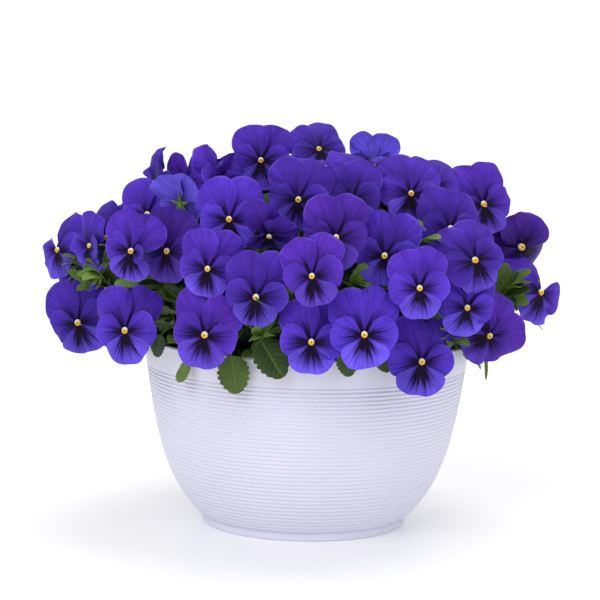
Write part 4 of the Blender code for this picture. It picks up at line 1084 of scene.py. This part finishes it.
def make_plants(settings):
    """A piece for each plant: its core, its collar in the soil, its stems and its leaves."""
    materials = [leaf_material(settings), stalk_material(settings), heart_shade_material(settings)]
    draw = np.random.default_rng(LEAF_SEED)
    surfaces = [Surface() for _ in range(PLANT_COUNT)]
    for plant, surface in enumerate(surfaces):
        add_core(surface, plant)
        turn = math.radians(PLANT_TURN + plant * 360 / PLANT_COUNT)
        path = COLLAR_RING * outward(turn) + np.outer(COLLAR_HEIGHTS, [0, 0, 1])
        points, faces = tube(path, [COLLAR_RADIUS] * len(path), 12)
        surface.add(points, faces, material=1, tone=0.0, young=0.2)
    for bloom in shown_blooms():
        add_stem(surfaces[plant_of(bloom.place)], bloom, draw)
    add_leaves(surfaces, seen_leaves(), draw, SEEN_GRID)
    add_leaves(surfaces, sprig_leaves(draw), draw, SPRIG_GRID)
    add_leaves(surfaces, rim_leaves(draw, settings.rim_leaves), draw, RIM_GRID)
    hidden = cover_leaves(draw, settings.cover_leaves) + gap_leaves(draw, settings.gap_leaves)
    add_leaves(surfaces, hidden, draw, HIDDEN_GRID)
    for plant, surface in enumerate(surfaces):
        piece = surface.build(f"foliage_{plant + 1}", materials, "blade")
        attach(piece, "root")
        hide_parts(f"plant_{plant + 1}")


def bud_spots(blooms):
    """The photo's buds, then the barest spots of the dome's unseen side."""
    spots = []
    for bud in BUDS:
        spot, ray = meet_shell(bud.px, bud.py)
        spots.append(spot + ray * bud.depth)
    seeds = shell_spots(SPOT_COUNT)
    seeds = seeds[(seeds[:, 2] > ROW_LOWEST) & (shell_normal(seeds)[:, 1] > BUD_BACK)]
    taken = np.array([bloom.place for bloom in blooms])
    bare = np.linalg.norm(seeds[:, None] - taken[None], axis=2).min(axis=1)
    for pick in np.argsort(-bare):
        if bare[pick] < BUD_ROOM:
            break
        if min(np.linalg.norm(seeds[pick] - spot) for spot in spots) > BUD_ROOM:
            spots.append(seeds[pick])
    return spots


def add_bud(surface, spot, draw):
    """A nodding bud: rolled petals in a spindle whose radius at share t of its length is
    R sin(pi t^0.8)^0.8 with three spiral ridges, five sepals and a hooked stem."""
    turn = math.atan2(spot[1], spot[0])
    root = core_point(turn, np.clip(spot[2], 160, 225), 0.85)
    out = unit(spot - root + [0, 0, 6])
    tip_way = unit(out * 0.8 + np.array([draw.uniform(-0.4, 0.4), draw.uniform(-0.4, 0.4), -0.5]))
    side = unit(np.cross(tip_way, [0.2, 0.1, 1.0]))
    up = np.cross(side, tip_way)
    size = draw.uniform(0.75, 1.15)
    t = np.linspace(0.02, 0.99, 15)[:, None]
    a = circle_turns(16)
    r = BUD_HALF * size * np.sin(math.pi * t**0.8) ** 0.8 * (1 + 0.10 * np.sin(3 * a + 5 * t))
    line = spot + tip_way * BUD_LONG * size * t
    ring = side * np.cos(a)[:, None] + up * np.sin(a)[:, None]
    points = line[:, None] + ring[None] * r[..., None]
    uv = points_of(a / (2 * math.pi), 0.3 + 0.5 * t).reshape(-1, 2)
    values = {"kind": 0.3, "reach": 0.0, "fan": 0.0, "edge": 0.0, "back": 0.3}
    values.update(tone=draw.uniform(-1, 0.5), hue=draw.uniform(0, 1))
    surface.add(points.reshape(-1, 3), ring_faces(len(t), len(a)), uv, 0, **values)
    s = np.linspace(0, 1, 7)[:, None]
    c = np.linspace(-1, 1, 3)
    inner = (BUD_HALF * size * np.sin(math.pi * (0.1 + 0.5 * s) ** 0.8) ** 0.8 + 0.35)[..., None]
    plate = spot + (tip_way * BUD_LONG * size * 0.62 * s[..., None] - tip_way * 0.5)
    for k in range(SEPAL_COUNT):
        middle = 2 * math.pi * k / SEPAL_COUNT + 0.3
        angle = middle + c * 0.42 * np.sin(math.pi * (0.15 + 0.85 * s) ** 0.8)
        way = side * np.cos(angle)[..., None] + up * np.sin(angle)[..., None]
        points, quads = slab(plate + way * (inner + 0.4), plate + way * inner)
        surface.add(points, [quads], material=1, **values)
    knee = spot - tip_way * 6 + [0, 0, 5]
    corner_points = (root, (root + knee) / 2 + [0, 0, 5], knee, spot + tip_way * 0.6)
    path = clear_pot(bezier(corner_points, np.linspace(0, 1, 18)))
    points, faces = tube(path, np.linspace(1.1, 0.8, len(path)), 7)
    surface.add(points, faces, material=1, **values)


def make_buds(settings):
    """All buds in one piece, in the finishes of the petals and the stems."""
    draw = np.random.default_rng(BLOOM_SEED + 1)
    surface = Surface()
    for spot in bud_spots(bloom_layout()):
        add_bud(surface, spot, draw)
    materials = [bpy.data.materials["viola petal"], bpy.data.materials["viola stem"]]
    piece = surface.build("viola_buds", materials, "polar")
    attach(piece, "root")


# Pot and soil


def rounded(radius, height, size, turns):
    """Arc of a profile that touches a radius and a height. It lies over the height, or under it
    where its size is below 0."""
    middle = np.array([radius - abs(size), height + size])
    return middle + abs(size) * points_of(np.cos(turns), np.sin(turns))


def make_pot(settings):
    """The bowl turned from its profile. Between the plain band at the top and the foot, the
    outer wall is cut by fine ribs: at height z its radius loses depth times a narrow bell
    round each groove's height."""
    top, low = settings.band_bottom / MM, GROOVE_BOTTOM
    steps = settings.groove_count * 8
    z = np.linspace(low, top, steps + 1)
    phase = (z - low) / (top - low) * settings.groove_count
    near = np.abs(phase - np.round(phase))
    depth = settings.groove_depth / MM * (0.65 + 0.35 * np.abs(2 * (z - low) / (top - low) - 1))
    groove = depth * np.exp(-((near / GROOVE_BELL) ** 2))
    groove[0] = groove[-1] = 0
    wall = points_of(pot_radius(z) - groove, z)
    foot = rounded(POT_FOOT_RADIUS, 0, FOOT_ROUND, np.linspace(-math.pi / 2, 0, 7))
    lip = rounded(pot_radius(POT_TOP), POT_TOP, -POT_LIP_ROUND, np.linspace(0, math.pi, 9))
    band = np.linspace(top + 1.0, POT_TOP - POT_LIP_ROUND - 0.5, 9)
    band = points_of(pot_radius(band), band)
    inner = np.array(INNER_HEIGHTS)
    inner = points_of(pot_radius(inner) - POT_WALL, inner)
    heel = np.array([[POT_FOOT_RADIUS, POT_FOOT_HEIGHT]])
    floor = np.array([[inner[-1, 0] - 3, POT_FLOOR]])
    profile = np.concatenate([foot, heel, wall, band, lip, inner, floor])
    surface = Surface()
    points, faces = turned(profile, POT_SIDES)
    surface.add(points, faces, tone=0.0)
    piece = surface.build("ribbed_pot", [pot_material(settings)], "plain", sharp=POT_SHARP)
    cut_drains(piece)
    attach(piece, "root")
    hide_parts("pot")


def cut_drains(piece):
    """Cuts the round drain holes through the floor."""
    cutter = Surface()
    for k in range(DRAIN_COUNT):
        foot = DRAIN_RING * outward(2 * math.pi * (k + 0.5) / DRAIN_COUNT)
        points, faces = tube(foot + np.outer([-2, 8.0], [0, 0, 1]), [DRAIN_RADIUS] * 2, 32)
        cutter.add(points, faces, tone=0.0)
    tool = cutter.build("drain_cutter", [], "plain")
    boolean = piece.modifiers.new("Drains", "BOOLEAN")
    boolean.object = tool
    boolean.operation = "DIFFERENCE"
    boolean.solver = "MANIFOLD"
    graph = bpy.context.evaluated_depsgraph_get()
    cut = bpy.data.meshes.new_from_object(piece.evaluated_get(graph))
    piece.modifiers.clear()
    piece.data = cut
    cut.set_sharp_from_angle(angle=math.radians(POT_SHARP))
    bpy.data.objects.remove(tool)


def make_soil(settings):
    """The packed soil keeps its own mesh and gets the crumbly finish."""
    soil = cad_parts["soil"]
    soil.data.materials.clear()
    soil.data.materials.append(soil_material(settings))


# Materials


def new_material(name):
    """A material, its node tree and its one shader."""
    material = bpy.data.materials.new(name)
    material.use_nodes = True
    tree = material.node_tree
    return material, tree, tree.nodes["Principled BSDF"]


def node(tree, kind, **settings):
    made = tree.nodes.new(kind)
    for key, value in settings.items():
        setattr(made, key, value)
    return made


def wire(tree, source, target):
    tree.links.new(source, target)


def attribute(tree, name):
    return node(tree, "ShaderNodeAttribute", attribute_name=name).outputs["Fac"]


def number_or_wire(tree, socket, value):
    if isinstance(value, bpy.types.NodeSocket):
        wire(tree, value, socket)
    else:
        socket.default_value = value


def calculate(tree, operation, a, b=0.0, c=0.0):
    made = node(tree, "ShaderNodeMath", operation=operation)
    for socket, value in zip(made.inputs, (a, b, c)):
        number_or_wire(tree, socket, value)
    return made.outputs[0]


def times(tree, a, b):
    return calculate(tree, "MULTIPLY", a, b)


def plus(tree, a, b):
    return calculate(tree, "ADD", a, b)


def minus(tree, a, b):
    return calculate(tree, "SUBTRACT", a, b)


def times_plus(tree, a, b, c):
    """a times b, plus c."""
    return calculate(tree, "MULTIPLY_ADD", a, b, c)


def ramp(tree, value, low, high, to_low=0.0, to_high=1.0):
    """Smooth step of a value from low to high."""
    made = node(tree, "ShaderNodeMapRange", interpolation_type="SMOOTHSTEP")
    for socket, number in zip(made.inputs[:5], (value, low, high, to_low, to_high)):
        number_or_wire(tree, socket, number)
    return made.outputs[0]


def blend(tree, factor, a, b, how="MIX"):
    """Mix of two colours."""
    made = node(tree, "ShaderNodeMix", data_type="RGBA", blend_type=how)
    number_or_wire(tree, made.inputs["Factor"], factor)
    for socket, value in zip((made.inputs[6], made.inputs[7]), (a, b)):
        if isinstance(value, bpy.types.NodeSocket):
            wire(tree, value, socket)
        else:
            socket.default_value = (*value, 1.0)
    return made.outputs[2]


def group_start(name, inputs, outputs):
    """An empty node group with its sockets; inputs are (name, kind, default)."""
    group = bpy.data.node_groups.new(name, "ShaderNodeTree")
    for label, kind, default in inputs:
        socket = group.interface.new_socket(label, in_out="INPUT", socket_type=kind)
        if default is not None:
            socket.default_value = default
    for label, kind in outputs:
        group.interface.new_socket(label, in_out="OUTPUT", socket_type=kind)
    return group, group.nodes.new("NodeGroupInput"), group.nodes.new("NodeGroupOutput")


def streaks_group():
    """Fine lines that run out from an eye or a midrib: noise stretched along the second
    coordinate, from 0 to 1, with its lines close together in the first."""
    name = "Vein streaks"
    if name in bpy.data.node_groups:
        return bpy.data.node_groups[name]
    inputs = [("UV", "NodeSocketVector", None), ("Lines", "NodeSocketFloat", 40.0)]
    inputs += [("Along", "NodeSocketFloat", 1.5), ("Seed", "NodeSocketFloat", 0.0)]
    group, start, end = group_start(name, inputs, [("Streak", "NodeSocketFloat")])
    split = node(group, "ShaderNodeSeparateXYZ")
    wire(group, start.outputs["UV"], split.inputs[0])
    join = node(group, "ShaderNodeCombineXYZ")
    wire(group, times(group, split.outputs[0], start.outputs["Lines"]), join.inputs[0])
    wire(group, times(group, split.outputs[1], start.outputs["Along"]), join.inputs[1])
    wire(group, times(group, start.outputs["Seed"], 7.0), join.inputs[2])
    noise = node(group, "ShaderNodeTexNoise")
    noise.inputs["Scale"].default_value = 1.0
    noise.inputs["Detail"].default_value = 1.5
    wire(group, join.outputs[0], noise.inputs["Vector"])
    wire(group, ramp(group, noise.outputs["Fac"], 0.3, 0.7), end.inputs["Streak"])
    return group


def mottle_group():
    """Soft blotches over a surface from its own position, from 0 to 1."""
    name = "Mottle"
    if name in bpy.data.node_groups:
        return bpy.data.node_groups[name]
    inputs = [("Position", "NodeSocketVector", None), ("Scale", "NodeSocketFloat", 60.0)]
    group, start, end = group_start(name, inputs, [("Value", "NodeSocketFloat")])
    noise = node(group, "ShaderNodeTexNoise")
    noise.inputs["Detail"].default_value = 3.0
    wire(group, start.outputs["Position"], noise.inputs["Vector"])
    wire(group, start.outputs["Scale"], noise.inputs["Scale"])
    wire(group, ramp(group, noise.outputs["Fac"], 0.3, 0.7), end.inputs["Value"])
    return group


def streaks(tree, uv, lines, along, seed):
    """Streaks by a mesh's own map."""
    made = node(tree, "ShaderNodeGroup", node_tree=streaks_group())
    wire(tree, uv, made.inputs["UV"])
    made.inputs["Lines"].default_value = lines
    made.inputs["Along"].default_value = along
    number_or_wire(tree, made.inputs["Seed"], seed)
    return made.outputs[0]


def mottle(tree, scale):
    """Mottle by an object's own position, with a scale in blotches a metre."""
    made = node(tree, "ShaderNodeGroup", node_tree=mottle_group())
    place = node(tree, "ShaderNodeTexCoord")
    wire(tree, place.outputs["Object"], made.inputs["Position"])
    made.inputs["Scale"].default_value = scale
    return made.outputs[0]


def own_map(tree, name):
    """A mesh's own map by its name, and its two coordinates."""
    uv = node(tree, "ShaderNodeUVMap", uv_map=name).outputs[0]
    split = node(tree, "ShaderNodeSeparateXYZ")
    wire(tree, uv, split.inputs[0])
    return uv, split.outputs[0], split.outputs[1]


def surface_finish(tree, shader, colour, roughness, specular=0.5):
    wire(tree, colour, shader.inputs["Base Color"])
    number_or_wire(tree, shader.inputs["Roughness"], roughness)
    shader.inputs["Specular IOR Level"].default_value = specular


def bump(tree, height, strength, distance, shader):
    made = node(tree, "ShaderNodeBump")
    made.inputs["Strength"].default_value = strength
    made.inputs["Distance"].default_value = distance
    wire(tree, height, made.inputs["Height"])
    wire(tree, made.outputs[0], shader.inputs["Normal"])


def scaled(tree, colour, factor):
    """A colour or colour setting times a value."""
    grey = node(tree, "ShaderNodeCombineColor")
    for socket in grey.inputs:
        wire(tree, factor, socket)
    return blend(tree, 1.0, colour, grey.outputs[0], "MULTIPLY")


def petal_material(settings):
    """Satin petal: three violets by kind, painted shade towards the hub and painted light towards
    the edge, fine radial veins, a dark blotch of ragged rays.
    """
    material, tree, shader = new_material("viola petal")
    uv, round_eye, from_eye = own_map(tree, "polar")
    kind, edge, tone = attribute(tree, "kind"), attribute(tree, "edge"), attribute(tree, "tone")
    hue, back = attribute(tree, "hue"), attribute(tree, "back")
    petal = blend(tree, ramp(tree, kind, 0.0, 0.5), settings.upper, settings.side)
    petal = blend(tree, ramp(tree, kind, 0.5, 1.0), petal, settings.lip)
    petal = blend(tree, times(tree, hue, 0.6), petal, settings.purple)
    # Painted shade and light: each petal is darkened towards the hub, where the petals crowd, and
    # lightened towards its edge.
    hub_shade_edge_light = ramp(tree, from_eye, 0.15, 0.80, 0.74, 1.22)
    veins = streaks(tree, uv, 130.0, 2.0, tone)
    broad = streaks(tree, uv, 34.0, 1.6, plus(tree, tone, 3.0))
    cloud = mottle(tree, 40.0)
    # The bloom's tone varies at random, except bloom_32's high tone, which is painted light; the
    # hub-to-edge ramp is painted shade and light.
    shade = times_plus(tree, tone, 0.22, hub_shade_edge_light)
    for value, size, least in ((veins, 0.22, 0.89), (broad, 0.22, 0.89), (cloud, 0.30, 0.85)):
        shade = times(tree, shade, times_plus(tree, value, size, least))
    petal = scaled(tree, petal, shade)
    petal = blend(tree, times(tree, back, 0.75), petal, scaled(tree, settings.back, shade))
    rim = times(tree, ramp(tree, edge, 0.94, 1.0), ramp(tree, cloud, 0.2, 0.9, 0.0, 0.35))
    petal = blend(tree, rim, petal, settings.rim)
    off_axis = minus(tree, round_eye, 0.5)
    angle = calculate(tree, "ABSOLUTE", times(tree, off_axis, 2 * math.pi))
    share = calculate(tree, "DIVIDE", angle, plus(tree, attribute(tree, "fan"), 0.001))
    fan = ramp(tree, share, 0.45, 1.0, 1.0, 0.0)
    notch = times(tree, ramp(tree, angle, 0.0, 0.16, 0.2, 0.0), kind)
    fan = minus(tree, fan, notch)
    seed = plus(tree, times(tree, tone, 5.0), kind)
    rays = streaks(tree, uv, 92.0, 0.9, seed)
    limit = times(tree, attribute(tree, "reach"), fan)
    low = times_plus(tree, kind, 0.30, 0.30)
    low = times(tree, low, ramp(tree, share, 0.15, 0.8, 1.0, 0.5))
    uneven = times(tree, rays, minus(tree, 1.03, low))
    limit = times(tree, limit, plus(tree, uneven, low))
    past = minus(tree, from_eye, limit)
    in_front = times_plus(tree, back, -0.8, 1.0)
    glow = times(tree, ramp(tree, past, 0.0, 0.26, 0.75, 0.0), in_front)
    petal = blend(tree, glow, petal, settings.deep)
    dark = times(tree, ramp(tree, past, -0.035, 0.03, 1.0, 0.0), in_front)
    petal = blend(tree, dark, petal, settings.blotch)
    surface_finish(tree, shader, petal, 0.5, 0.08)
    height = plus(tree, veins, times(tree, broad, 1.6))
    bump(tree, height, 0.5, 0.0005, shader)
    return material


def eye_material(settings):
    """The eye: white tufts like a roof, yellow below, a brown throat in the dimple."""
    material, tree, shader = new_material("viola eye")
    _, x, y = own_map(tree, "polar")
    x = calculate(tree, "ABSOLUTE", minus(tree, x, 0.5))
    y = minus(tree, y, 0.5)
    roof = times_plus(tree, x, 0.9, y)
    white = ramp(tree, roof, 0.24, 0.31)
    far = calculate(tree, "SQRT", plus(tree, times(tree, x, x), times(tree, y, y)))
    colour = blend(tree, white, settings.eye, settings.cream)
    rim = times(tree, ramp(tree, y, -0.02, -0.14), ramp(tree, far, 0.14, 0.23))
    colour = blend(tree, rim, colour, settings.rust)
    colour = blend(tree, ramp(tree, far, 0.03, 0.085, 1.0, 0.0), colour, settings.throat)
    surface_finish(tree, shader, colour, 0.6)
    bump(tree, mottle(tree, 2500.0), 0.4, 0.0004, shader)
    return material


def leaf_material(settings):
    """Leaf: green by age, paler veins from its own map, a faint gloss."""
    material, tree, shader = new_material("viola leaf")
    _, across, along = own_map(tree, "blade")
    tone, young = attribute(tree, "tone"), attribute(tree, "young")
    colour = blend(tree, young, settings.leaf, settings.young)
    cloud = mottle(tree, 90.0)
    shade = times_plus(tree, tone, 0.2, times_plus(tree, cloud, 0.3, 0.85))
    colour = scaled(tree, colour, shade)
    from_middle = calculate(tree, "ABSOLUTE", minus(tree, across, 0.5))
    midrib = ramp(tree, from_middle, 0.015, 0.05, 1.0, 0.0)
    slope = times_plus(tree, from_middle, -0.55, along)
    beat = calculate(tree, "FRACT", times(tree, slope, 7.0))
    side_vein = ramp(tree, calculate(tree, "ABSOLUTE", minus(tree, beat, 0.5)), 0.0, 0.10, 1.0, 0.0)
    veins = calculate(tree, "MAXIMUM", midrib, times(tree, side_vein, 0.55))
    colour = blend(tree, times(tree, veins, 0.55), colour, settings.vein)
    surface_finish(tree, shader, colour, 0.5, 0.35)
    height = times_plus(tree, cloud, 0.25, times(tree, veins, -1.0))
    bump(tree, height, 0.6, 0.0006, shader)
    return material


def stalk_material(settings):
    """Stems, stalks and sepals: pale green with a mottle."""
    material, tree, shader = new_material("viola stem")
    colour = blend(tree, mottle(tree, 120.0), settings.stem, settings.young)
    surface_finish(tree, shader, colour, 0.5)
    bump(tree, mottle(tree, 700.0), 0.2, 0.0003, shader)
    return material


def heart_shade_material(settings):
    """The heart of the plants: dark leafage whose colour is painted shade for the inside of the
    foliage.
    """
    material, tree, shader = new_material("viola heart painted shade")
    colour = blend(tree, mottle(tree, 80.0), settings.heart, settings.leaf)
    surface_finish(tree, shader, colour, 0.8)
    bump(tree, mottle(tree, 140.0), 1.0, 0.006, shader)
    return material


def pot_material(settings):
    """Moulded white plastic with a lavender cast and the faint grain of its mould."""
    material, tree, shader = new_material("white moulded plastic")
    cloud = mottle(tree, 5.0)
    colour = blend(tree, cloud, settings.colour, settings.colour_two)
    rough = times_plus(tree, mottle(tree, 160.0), 0.03, 0.44)
    surface_finish(tree, shader, colour, rough)
    bump(tree, mottle(tree, 900.0), 0.015, 0.0001, shader)
    return material


def soil_material(settings):
    """Damp peat: dark crumbs with paler fibres."""
    material, tree, shader = new_material("potting soil")
    crumbs = mottle(tree, 260.0)
    colour = blend(tree, crumbs, settings.soil_dark, settings.soil_light)
    surface_finish(tree, shader, colour, 0.95)
    bump(tree, crumbs, 1.0, 0.003, shader)
    return material


def floor_material(settings):
    """Pale floor with a soft sheen and a painted glow of its own that lightens the shadows cast on
    it.
    """
    material, tree, shader = new_material("studio floor")
    colour = blend(tree, mottle(tree, 1.5), settings.floor, [c * 0.995 for c in settings.floor])
    surface_finish(tree, shader, colour, 0.24)
    # Painted light: a faint glow lifts the shadows on the floor.
    shader.inputs["Emission Color"].default_value = (1.0, 1.0, 1.0, 1.0)
    shader.inputs["Emission Strength"].default_value = 0.09
    return material


# Stage


def make_stage(settings):
    """A wide pale floor, an even white sky, soft lights and the photo's camera."""
    surface = Surface()
    side = np.linspace(-FLOOR_HALF, FLOOR_HALF, 9)
    points = points_of(side[:, None], side, 0.0).reshape(-1, 3)
    surface.add(points, [grid_faces(len(side), len(side))], tone=0.0)
    floor = surface.build("studio_floor", [floor_material(settings)], "plain")
    world = bpy.data.worlds.new("white studio")
    world.use_nodes = True
    tree = world.node_tree
    sky = tree.nodes["Background"]
    sky.inputs["Color"].default_value = (*settings.sky, 1.0)
    sky.inputs["Strength"].default_value = settings.sky_strength
    bpy.context.scene.world = world
    bpy.context.scene.view_settings.view_transform = "Standard"
    lights = (
        ("key", (-0.7, -1.3, 1.2), settings.key_strength),
        ("fill", (1.2, -1.0, 0.8), settings.key_strength * 0.3),
        ("top", (0.15, 0.2, 1.0), settings.top_strength),
    )
    for name, place, strength in lights:
        light = bpy.data.lights.new(name, "SUN")
        light.energy = strength
        light.angle = LIGHT_SPREAD
        item = bpy.data.objects.new(name, light)
        item.matrix_world = Matrix.Translation(place) @ look_along(-np.array(place))
        bpy.context.scene.collection.objects.link(item)
    camera = bpy.data.cameras.new("camera")
    camera.lens = VIEW_FOCAL / VIEW_FRAME * camera.sensor_width
    camera.shift_x = (VIEW_FRAME / 2 - VIEW_MIDDLE_X) / VIEW_FRAME
    camera.clip_end = 200
    viewer = bpy.data.objects.new("camera", camera)
    bpy.context.scene.collection.objects.link(viewer)
    tilt = Matrix.Rotation(math.pi / 2 - VIEW_PITCH, 4, "X") @ Matrix.Rotation(VIEW_ROLL, 4, "Z")
    viewer.matrix_world = Matrix.Translation((0, -VIEW_DISTANCE * MM, VIEW_HEIGHT * MM)) @ tilt
    bpy.context.scene.camera = viewer


def look_along(way):
    """Turn that points an object's own -Z along a way."""
    back = -unit(np.asarray(way, dtype=float))
    side = unit(np.cross([0, 1, 0.01], back))
    up = np.cross(back, side)
    turn = Matrix.Identity(4)
    for row in range(3):
        turn[row][0], turn[row][1], turn[row][2] = side[row], up[row], back[row]
    return turn


# Settings, operators and panel


def srgb(red, green, blue):
    """Linear colour from 0 to 255 screen values."""
    def one(value):
        value /= 255
        return value / 12.92 if value <= 0.04045 else ((value + 0.055) / 1.055) ** 2.4
    return one(red), one(green), one(blue)


def colour_property(name, description, default):
    return bpy.props.FloatVectorProperty(
        name=name, description=description, subtype="COLOR", size=3, min=0, max=1, default=default
    )


def length_property(name, description, default):
    return bpy.props.FloatProperty(
        name=name, description=description, unit="LENGTH", min=0, default=default, precision=5
    )


class PotSettings(bpy.types.PropertyGroup):
    groove_count: bpy.props.IntProperty(
        name="Grooves", description="Number of fine grooves round the wall", default=37, min=0
    )
    groove_depth: length_property("Groove depth", "Depth of the top grooves", 0.0012)
    band_bottom: length_property("Band bottom", "Height at which the plain top band starts", 0.128)
    colour: colour_property("Plastic", "White plastic", srgb(224, 223, 240))
    colour_two: colour_property("Plastic cast", "Slightly greyer plastic", srgb(221, 219, 236))


class SoilSettings(bpy.types.PropertyGroup):
    soil_dark: colour_property("Dark crumbs", "Damp peat", (0.018, 0.012, 0.008))
    soil_light: colour_property("Light crumbs", "Dry fibres", (0.07, 0.045, 0.028))


class BloomSettings(bpy.types.PropertyGroup):
    upper: colour_property("Upper petals", "Colour of the two upper petals", srgb(66, 40, 158))
    side: colour_property("Side petals", "Colour of the side petals", srgb(76, 50, 180))
    lip: colour_property("Lip", "Colour of the lower petal", srgb(96, 76, 208))
    purple: colour_property("Purple cast", "What some blooms lean to", srgb(76, 32, 138))
    back: colour_property("Petal backs", "Colour of the petals' backs", srgb(98, 84, 200))
    rim: colour_property("Petal rims", "Colour of the thin rims", srgb(124, 100, 222))
    deep: colour_property("Round the blotch", "Deeper violet round the blotch", srgb(42, 18, 104))
    blotch: colour_property("Blotch", "Dark blotch and its rays", srgb(20, 6, 38))
    eye: colour_property("Eye", "Yellow of the eye", srgb(236, 196, 52))
    cream: colour_property("Tufts", "White tufts over the eye", srgb(246, 240, 236))
    throat: colour_property("Throat", "Brown dot in the eye", srgb(110, 66, 16))
    rust: colour_property("Under the eye", "Rusty rim under the eye", srgb(116, 50, 20))
    ruffle: length_property("Ruffle", "Height of the waves at a petal's edge", 0.0020)
    fold: length_property("Fold", "Height of the fold along a petal", 0.0016)
    curl: length_property("Curl", "How far the rim curls back", 0.0012)
    thickness: length_property("Thickness", "Thickness of a petal", 0.0005)


class LeafSettings(bpy.types.PropertyGroup):
    leaf: colour_property("Leaf", "Grown leaf", srgb(46, 72, 25))
    young: colour_property("Young leaf", "Young leaf and bud", srgb(112, 142, 58))
    vein: colour_property("Vein", "Veins of a leaf", srgb(104, 132, 66))
    stem: colour_property("Stem", "Stems and sepals", srgb(72, 98, 42))
    # The heart's dark colour is painted shade for the inside of the foliage.
    heart: colour_property("Heart", "Shaded heart of the plants", srgb(20, 28, 12))
    rim_leaves: bpy.props.IntProperty(
        name="Rim leaves", description="Leaves that hang over the rim", default=30, min=0
    )
    cover_leaves: bpy.props.IntProperty(
        name="Cover leaves", description="Leaves that lie over the core", default=280, min=0
    )
    gap_leaves: bpy.props.IntProperty(
        name="Gap leaves", description="Leaves that stand between the blooms", default=250, min=0
    )


class StageSettings(bpy.types.PropertyGroup):
    floor: colour_property("Floor", "Pale studio floor", (0.96, 0.96, 0.97))
    sky: colour_property("Sky", "Even light all round", (1.0, 1.0, 1.0))
    sky_strength: bpy.props.FloatProperty(
        name="Sky strength", description="Strength of the even light", default=0.72, min=0
    )
    key_strength: bpy.props.FloatProperty(
        name="Key strength", description="Strength of the main soft light", default=0.9, min=0
    )
    top_strength: bpy.props.FloatProperty(
        name="Top strength", description="Strength of the soft light overhead", default=1.0, min=0
    )


class ViolaOperator:
    """What the operators share: each calls its maker with the settings that it uses."""

    bl_options = {"REGISTER", "UNDO"}

    def execute(self, context):
        self.make(getattr(context.scene, self.settings))
        return {"FINISHED"}


class VIOLAS_OT_pot(ViolaOperator, bpy.types.Operator):
    """Make the ribbed plastic bowl"""

    bl_idname = "violas.pot"
    bl_label = "Ribbed pot"
    settings = "viola_pot"
    make = staticmethod(make_pot)


class VIOLAS_OT_soil(ViolaOperator, bpy.types.Operator):
    """Give the soil its crumbly finish"""

    bl_idname = "violas.soil"
    bl_label = "Soil"
    settings = "viola_soil"
    make = staticmethod(make_soil)


class VIOLAS_OT_blooms(ViolaOperator, bpy.types.Operator):
    """Make every viola bloom"""

    bl_idname = "violas.blooms"
    bl_label = "Blooms"
    settings = "viola_bloom"
    make = staticmethod(make_blooms)


class VIOLAS_OT_plants(ViolaOperator, bpy.types.Operator):
    """Make the leaves, stems and hearts of the three plants"""

    bl_idname = "violas.plants"
    bl_label = "Leaves and stems"
    settings = "viola_leaf"
    make = staticmethod(make_plants)


class VIOLAS_OT_buds(ViolaOperator, bpy.types.Operator):
    """Make the buds between the blooms"""

    bl_idname = "violas.buds"
    bl_label = "Buds"
    settings = "viola_bloom"
    make = staticmethod(make_buds)


class VIOLAS_OT_stage(ViolaOperator, bpy.types.Operator):
    """Make the floor, the lights and the camera"""

    bl_idname = "violas.stage"
    bl_label = "Studio"
    settings = "viola_stage"
    make = staticmethod(make_stage)


OPERATORS = (
    VIOLAS_OT_pot,
    VIOLAS_OT_soil,
    VIOLAS_OT_blooms,
    VIOLAS_OT_plants,
    VIOLAS_OT_buds,
    VIOLAS_OT_stage,
)
SETTINGS = {
    "viola_pot": PotSettings,
    "viola_soil": SoilSettings,
    "viola_bloom": BloomSettings,
    "viola_leaf": LeafSettings,
    "viola_stage": StageSettings,
}


class VIOLAS_PT_panel(bpy.types.Panel):
    """The sizes, the colours and the steps that make the bowl"""

    bl_idname = "VIOLAS_PT_panel"
    bl_label = "Bowl of violas"
    bl_space_type = "VIEW_3D"
    bl_region_type = "UI"
    bl_category = "Violas"

    def draw(self, context):
        for operator in OPERATORS:
            box = self.layout.box()
            box.operator(operator.bl_idname)
            settings = getattr(context.scene, operator.settings)
            for key in SETTINGS[operator.settings].__annotations__:
                box.prop(settings, key)


def register():
    for key, group in SETTINGS.items():
        bpy.utils.register_class(group)
        setattr(bpy.types.Scene, key, bpy.props.PointerProperty(type=group))
    for operator in OPERATORS:
        bpy.utils.register_class(operator)
    bpy.utils.register_class(VIOLAS_PT_panel)


def unregister():
    bpy.utils.unregister_class(VIOLAS_PT_panel)
    for operator in reversed(OPERATORS):
        bpy.utils.unregister_class(operator)
    for key, group in SETTINGS.items():
        delattr(bpy.types.Scene, key)
        bpy.utils.unregister_class(group)


def main():
    register()
    bpy.ops.violas.pot()
    bpy.ops.violas.soil()
    bpy.ops.violas.blooms()
    bpy.ops.violas.plants()
    bpy.ops.violas.buds()
    bpy.ops.violas.stage()


if __name__ == "__main__":
    main()
